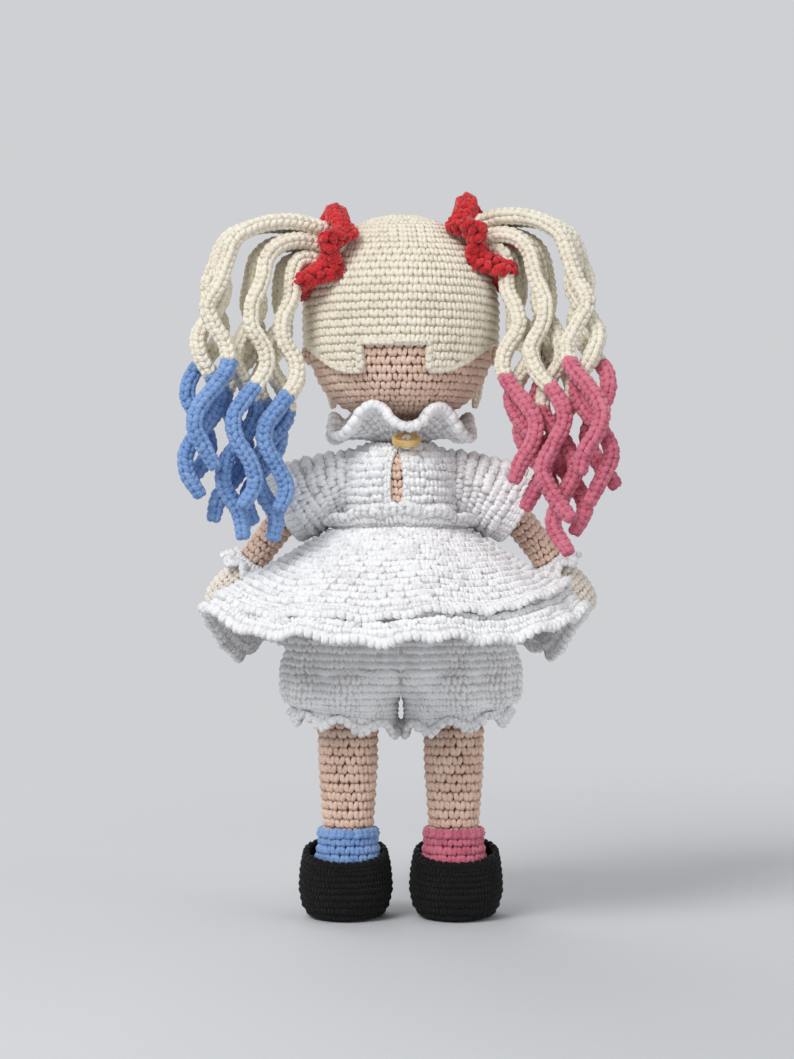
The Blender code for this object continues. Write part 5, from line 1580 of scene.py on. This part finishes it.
# Where the floor starts to fade into the backdrop, and where it has
FADE_FROM = 0.25
FADE_TO = 0.75


def add_camera():
    data = bpy.data.cameras.new("camera")
    data.sensor_fit = "VERTICAL"
    data.sensor_height = SENSOR
    data.lens = FOCAL_PIXELS / PHOTO_HEIGHT * SENSOR
    camera = bpy.data.objects.new("camera", data)
    camera.location = (CAMERA_X, CAMERA_Y, CAMERA_Z)
    camera.rotation_euler = (math.pi / 2, 0, math.pi)
    bpy.context.scene.collection.objects.link(camera)
    bpy.context.scene.camera = camera


def add_lights():
    for name, (place, size, power) in LIGHTS.items():
        data = bpy.data.lights.new(name, "AREA")
        data.size = size
        data.energy = power
        light = bpy.data.objects.new(name, data)
        light.location = place
        light.rotation_euler = (AIM - Vector(place)).to_track_quat("-Z", "Y").to_euler()
        bpy.context.scene.collection.objects.link(light)


def add_world():
    """Even light all round, and a pale backdrop where the camera sees past the floor."""
    world = bpy.data.worlds.new("studio")
    world.use_nodes = True
    bpy.context.scene.world = world
    tree = world.node_tree
    sky = tree.nodes["Background"]
    sky.inputs["Color"].default_value = SKY
    sky.inputs["Strength"].default_value = SKY_STRENGTH
    seen = tree.nodes.new("ShaderNodeBackground")
    seen.inputs["Color"].default_value = BACKDROP
    rays = tree.nodes.new("ShaderNodeLightPath")
    mix = tree.nodes.new("ShaderNodeMixShader")
    for output, socket in zip((rays.outputs["Is Camera Ray"], sky.outputs[0], seen.outputs[0]), mix.inputs):
        tree.links.new(output, socket)
    tree.links.new(mix.outputs[0], tree.nodes["World Output"].inputs[0])


def add_floor():
    """A pale floor that fades into the backdrop away from the doll."""
    mesh = bpy.data.meshes.new("floor")
    corners = [(-1, -1), (1, -1), (1, 1), (-1, 1)]
    mesh.from_pydata([(x * FLOOR_SIDE, y * FLOOR_SIDE, 0) for x, y in corners], [], [(0, 1, 2, 3)])
    floor = bpy.data.objects.new("floor", mesh)
    bpy.context.scene.collection.objects.link(floor)
    n = Nodes("pale_floor")
    n.feed(n.shader.inputs["Base Color"], n.mix(n.noise(3.0, 3.0), FLOOR_DARK, FLOOR_PALE))
    n.shader.inputs["Roughness"].default_value = 0.9
    n.shader.inputs["Specular IOR Level"].default_value = 0.1
    distance = n.add("ShaderNodeVectorMath", {0: n.place()}, operation="LENGTH").outputs["Value"]
    inputs = {"Value": distance, "From Min": FADE_FROM, "From Max": FADE_TO}
    fade = n.add("ShaderNodeMapRange", inputs, interpolation_type="SMOOTHSTEP")
    rays = n.add("ShaderNodeLightPath").outputs["Is Camera Ray"]
    glow = n.add("ShaderNodeEmission", {"Color": BACKDROP})
    inputs = {0: n.math("MULTIPLY", fade.outputs[0], rays), 1: n.shader.outputs[0], 2: glow.outputs[0]}
    mix = n.add("ShaderNodeMixShader", inputs)
    n.tree.links.new(mix.outputs[0], n.tree.nodes["Material Output"].inputs[0])
    mesh.materials.append(n.made)


add_camera()
add_world()
add_lights()
add_floor()
make_head()
make_cap()
make_ears()
make_eyes()
make_nose()
make_mouth()
make_locks()
make_torso()
make_bodice()
make_collar()
make_button()
make_skirt()
make_bloomers()
for side in SIDES:
    make_pigtail(side)
    make_scrunchie(side)
    make_arm(side)
    make_leg(side)
stand_ins()

bpy.context.scene.view_settings.view_transform = "Standard"
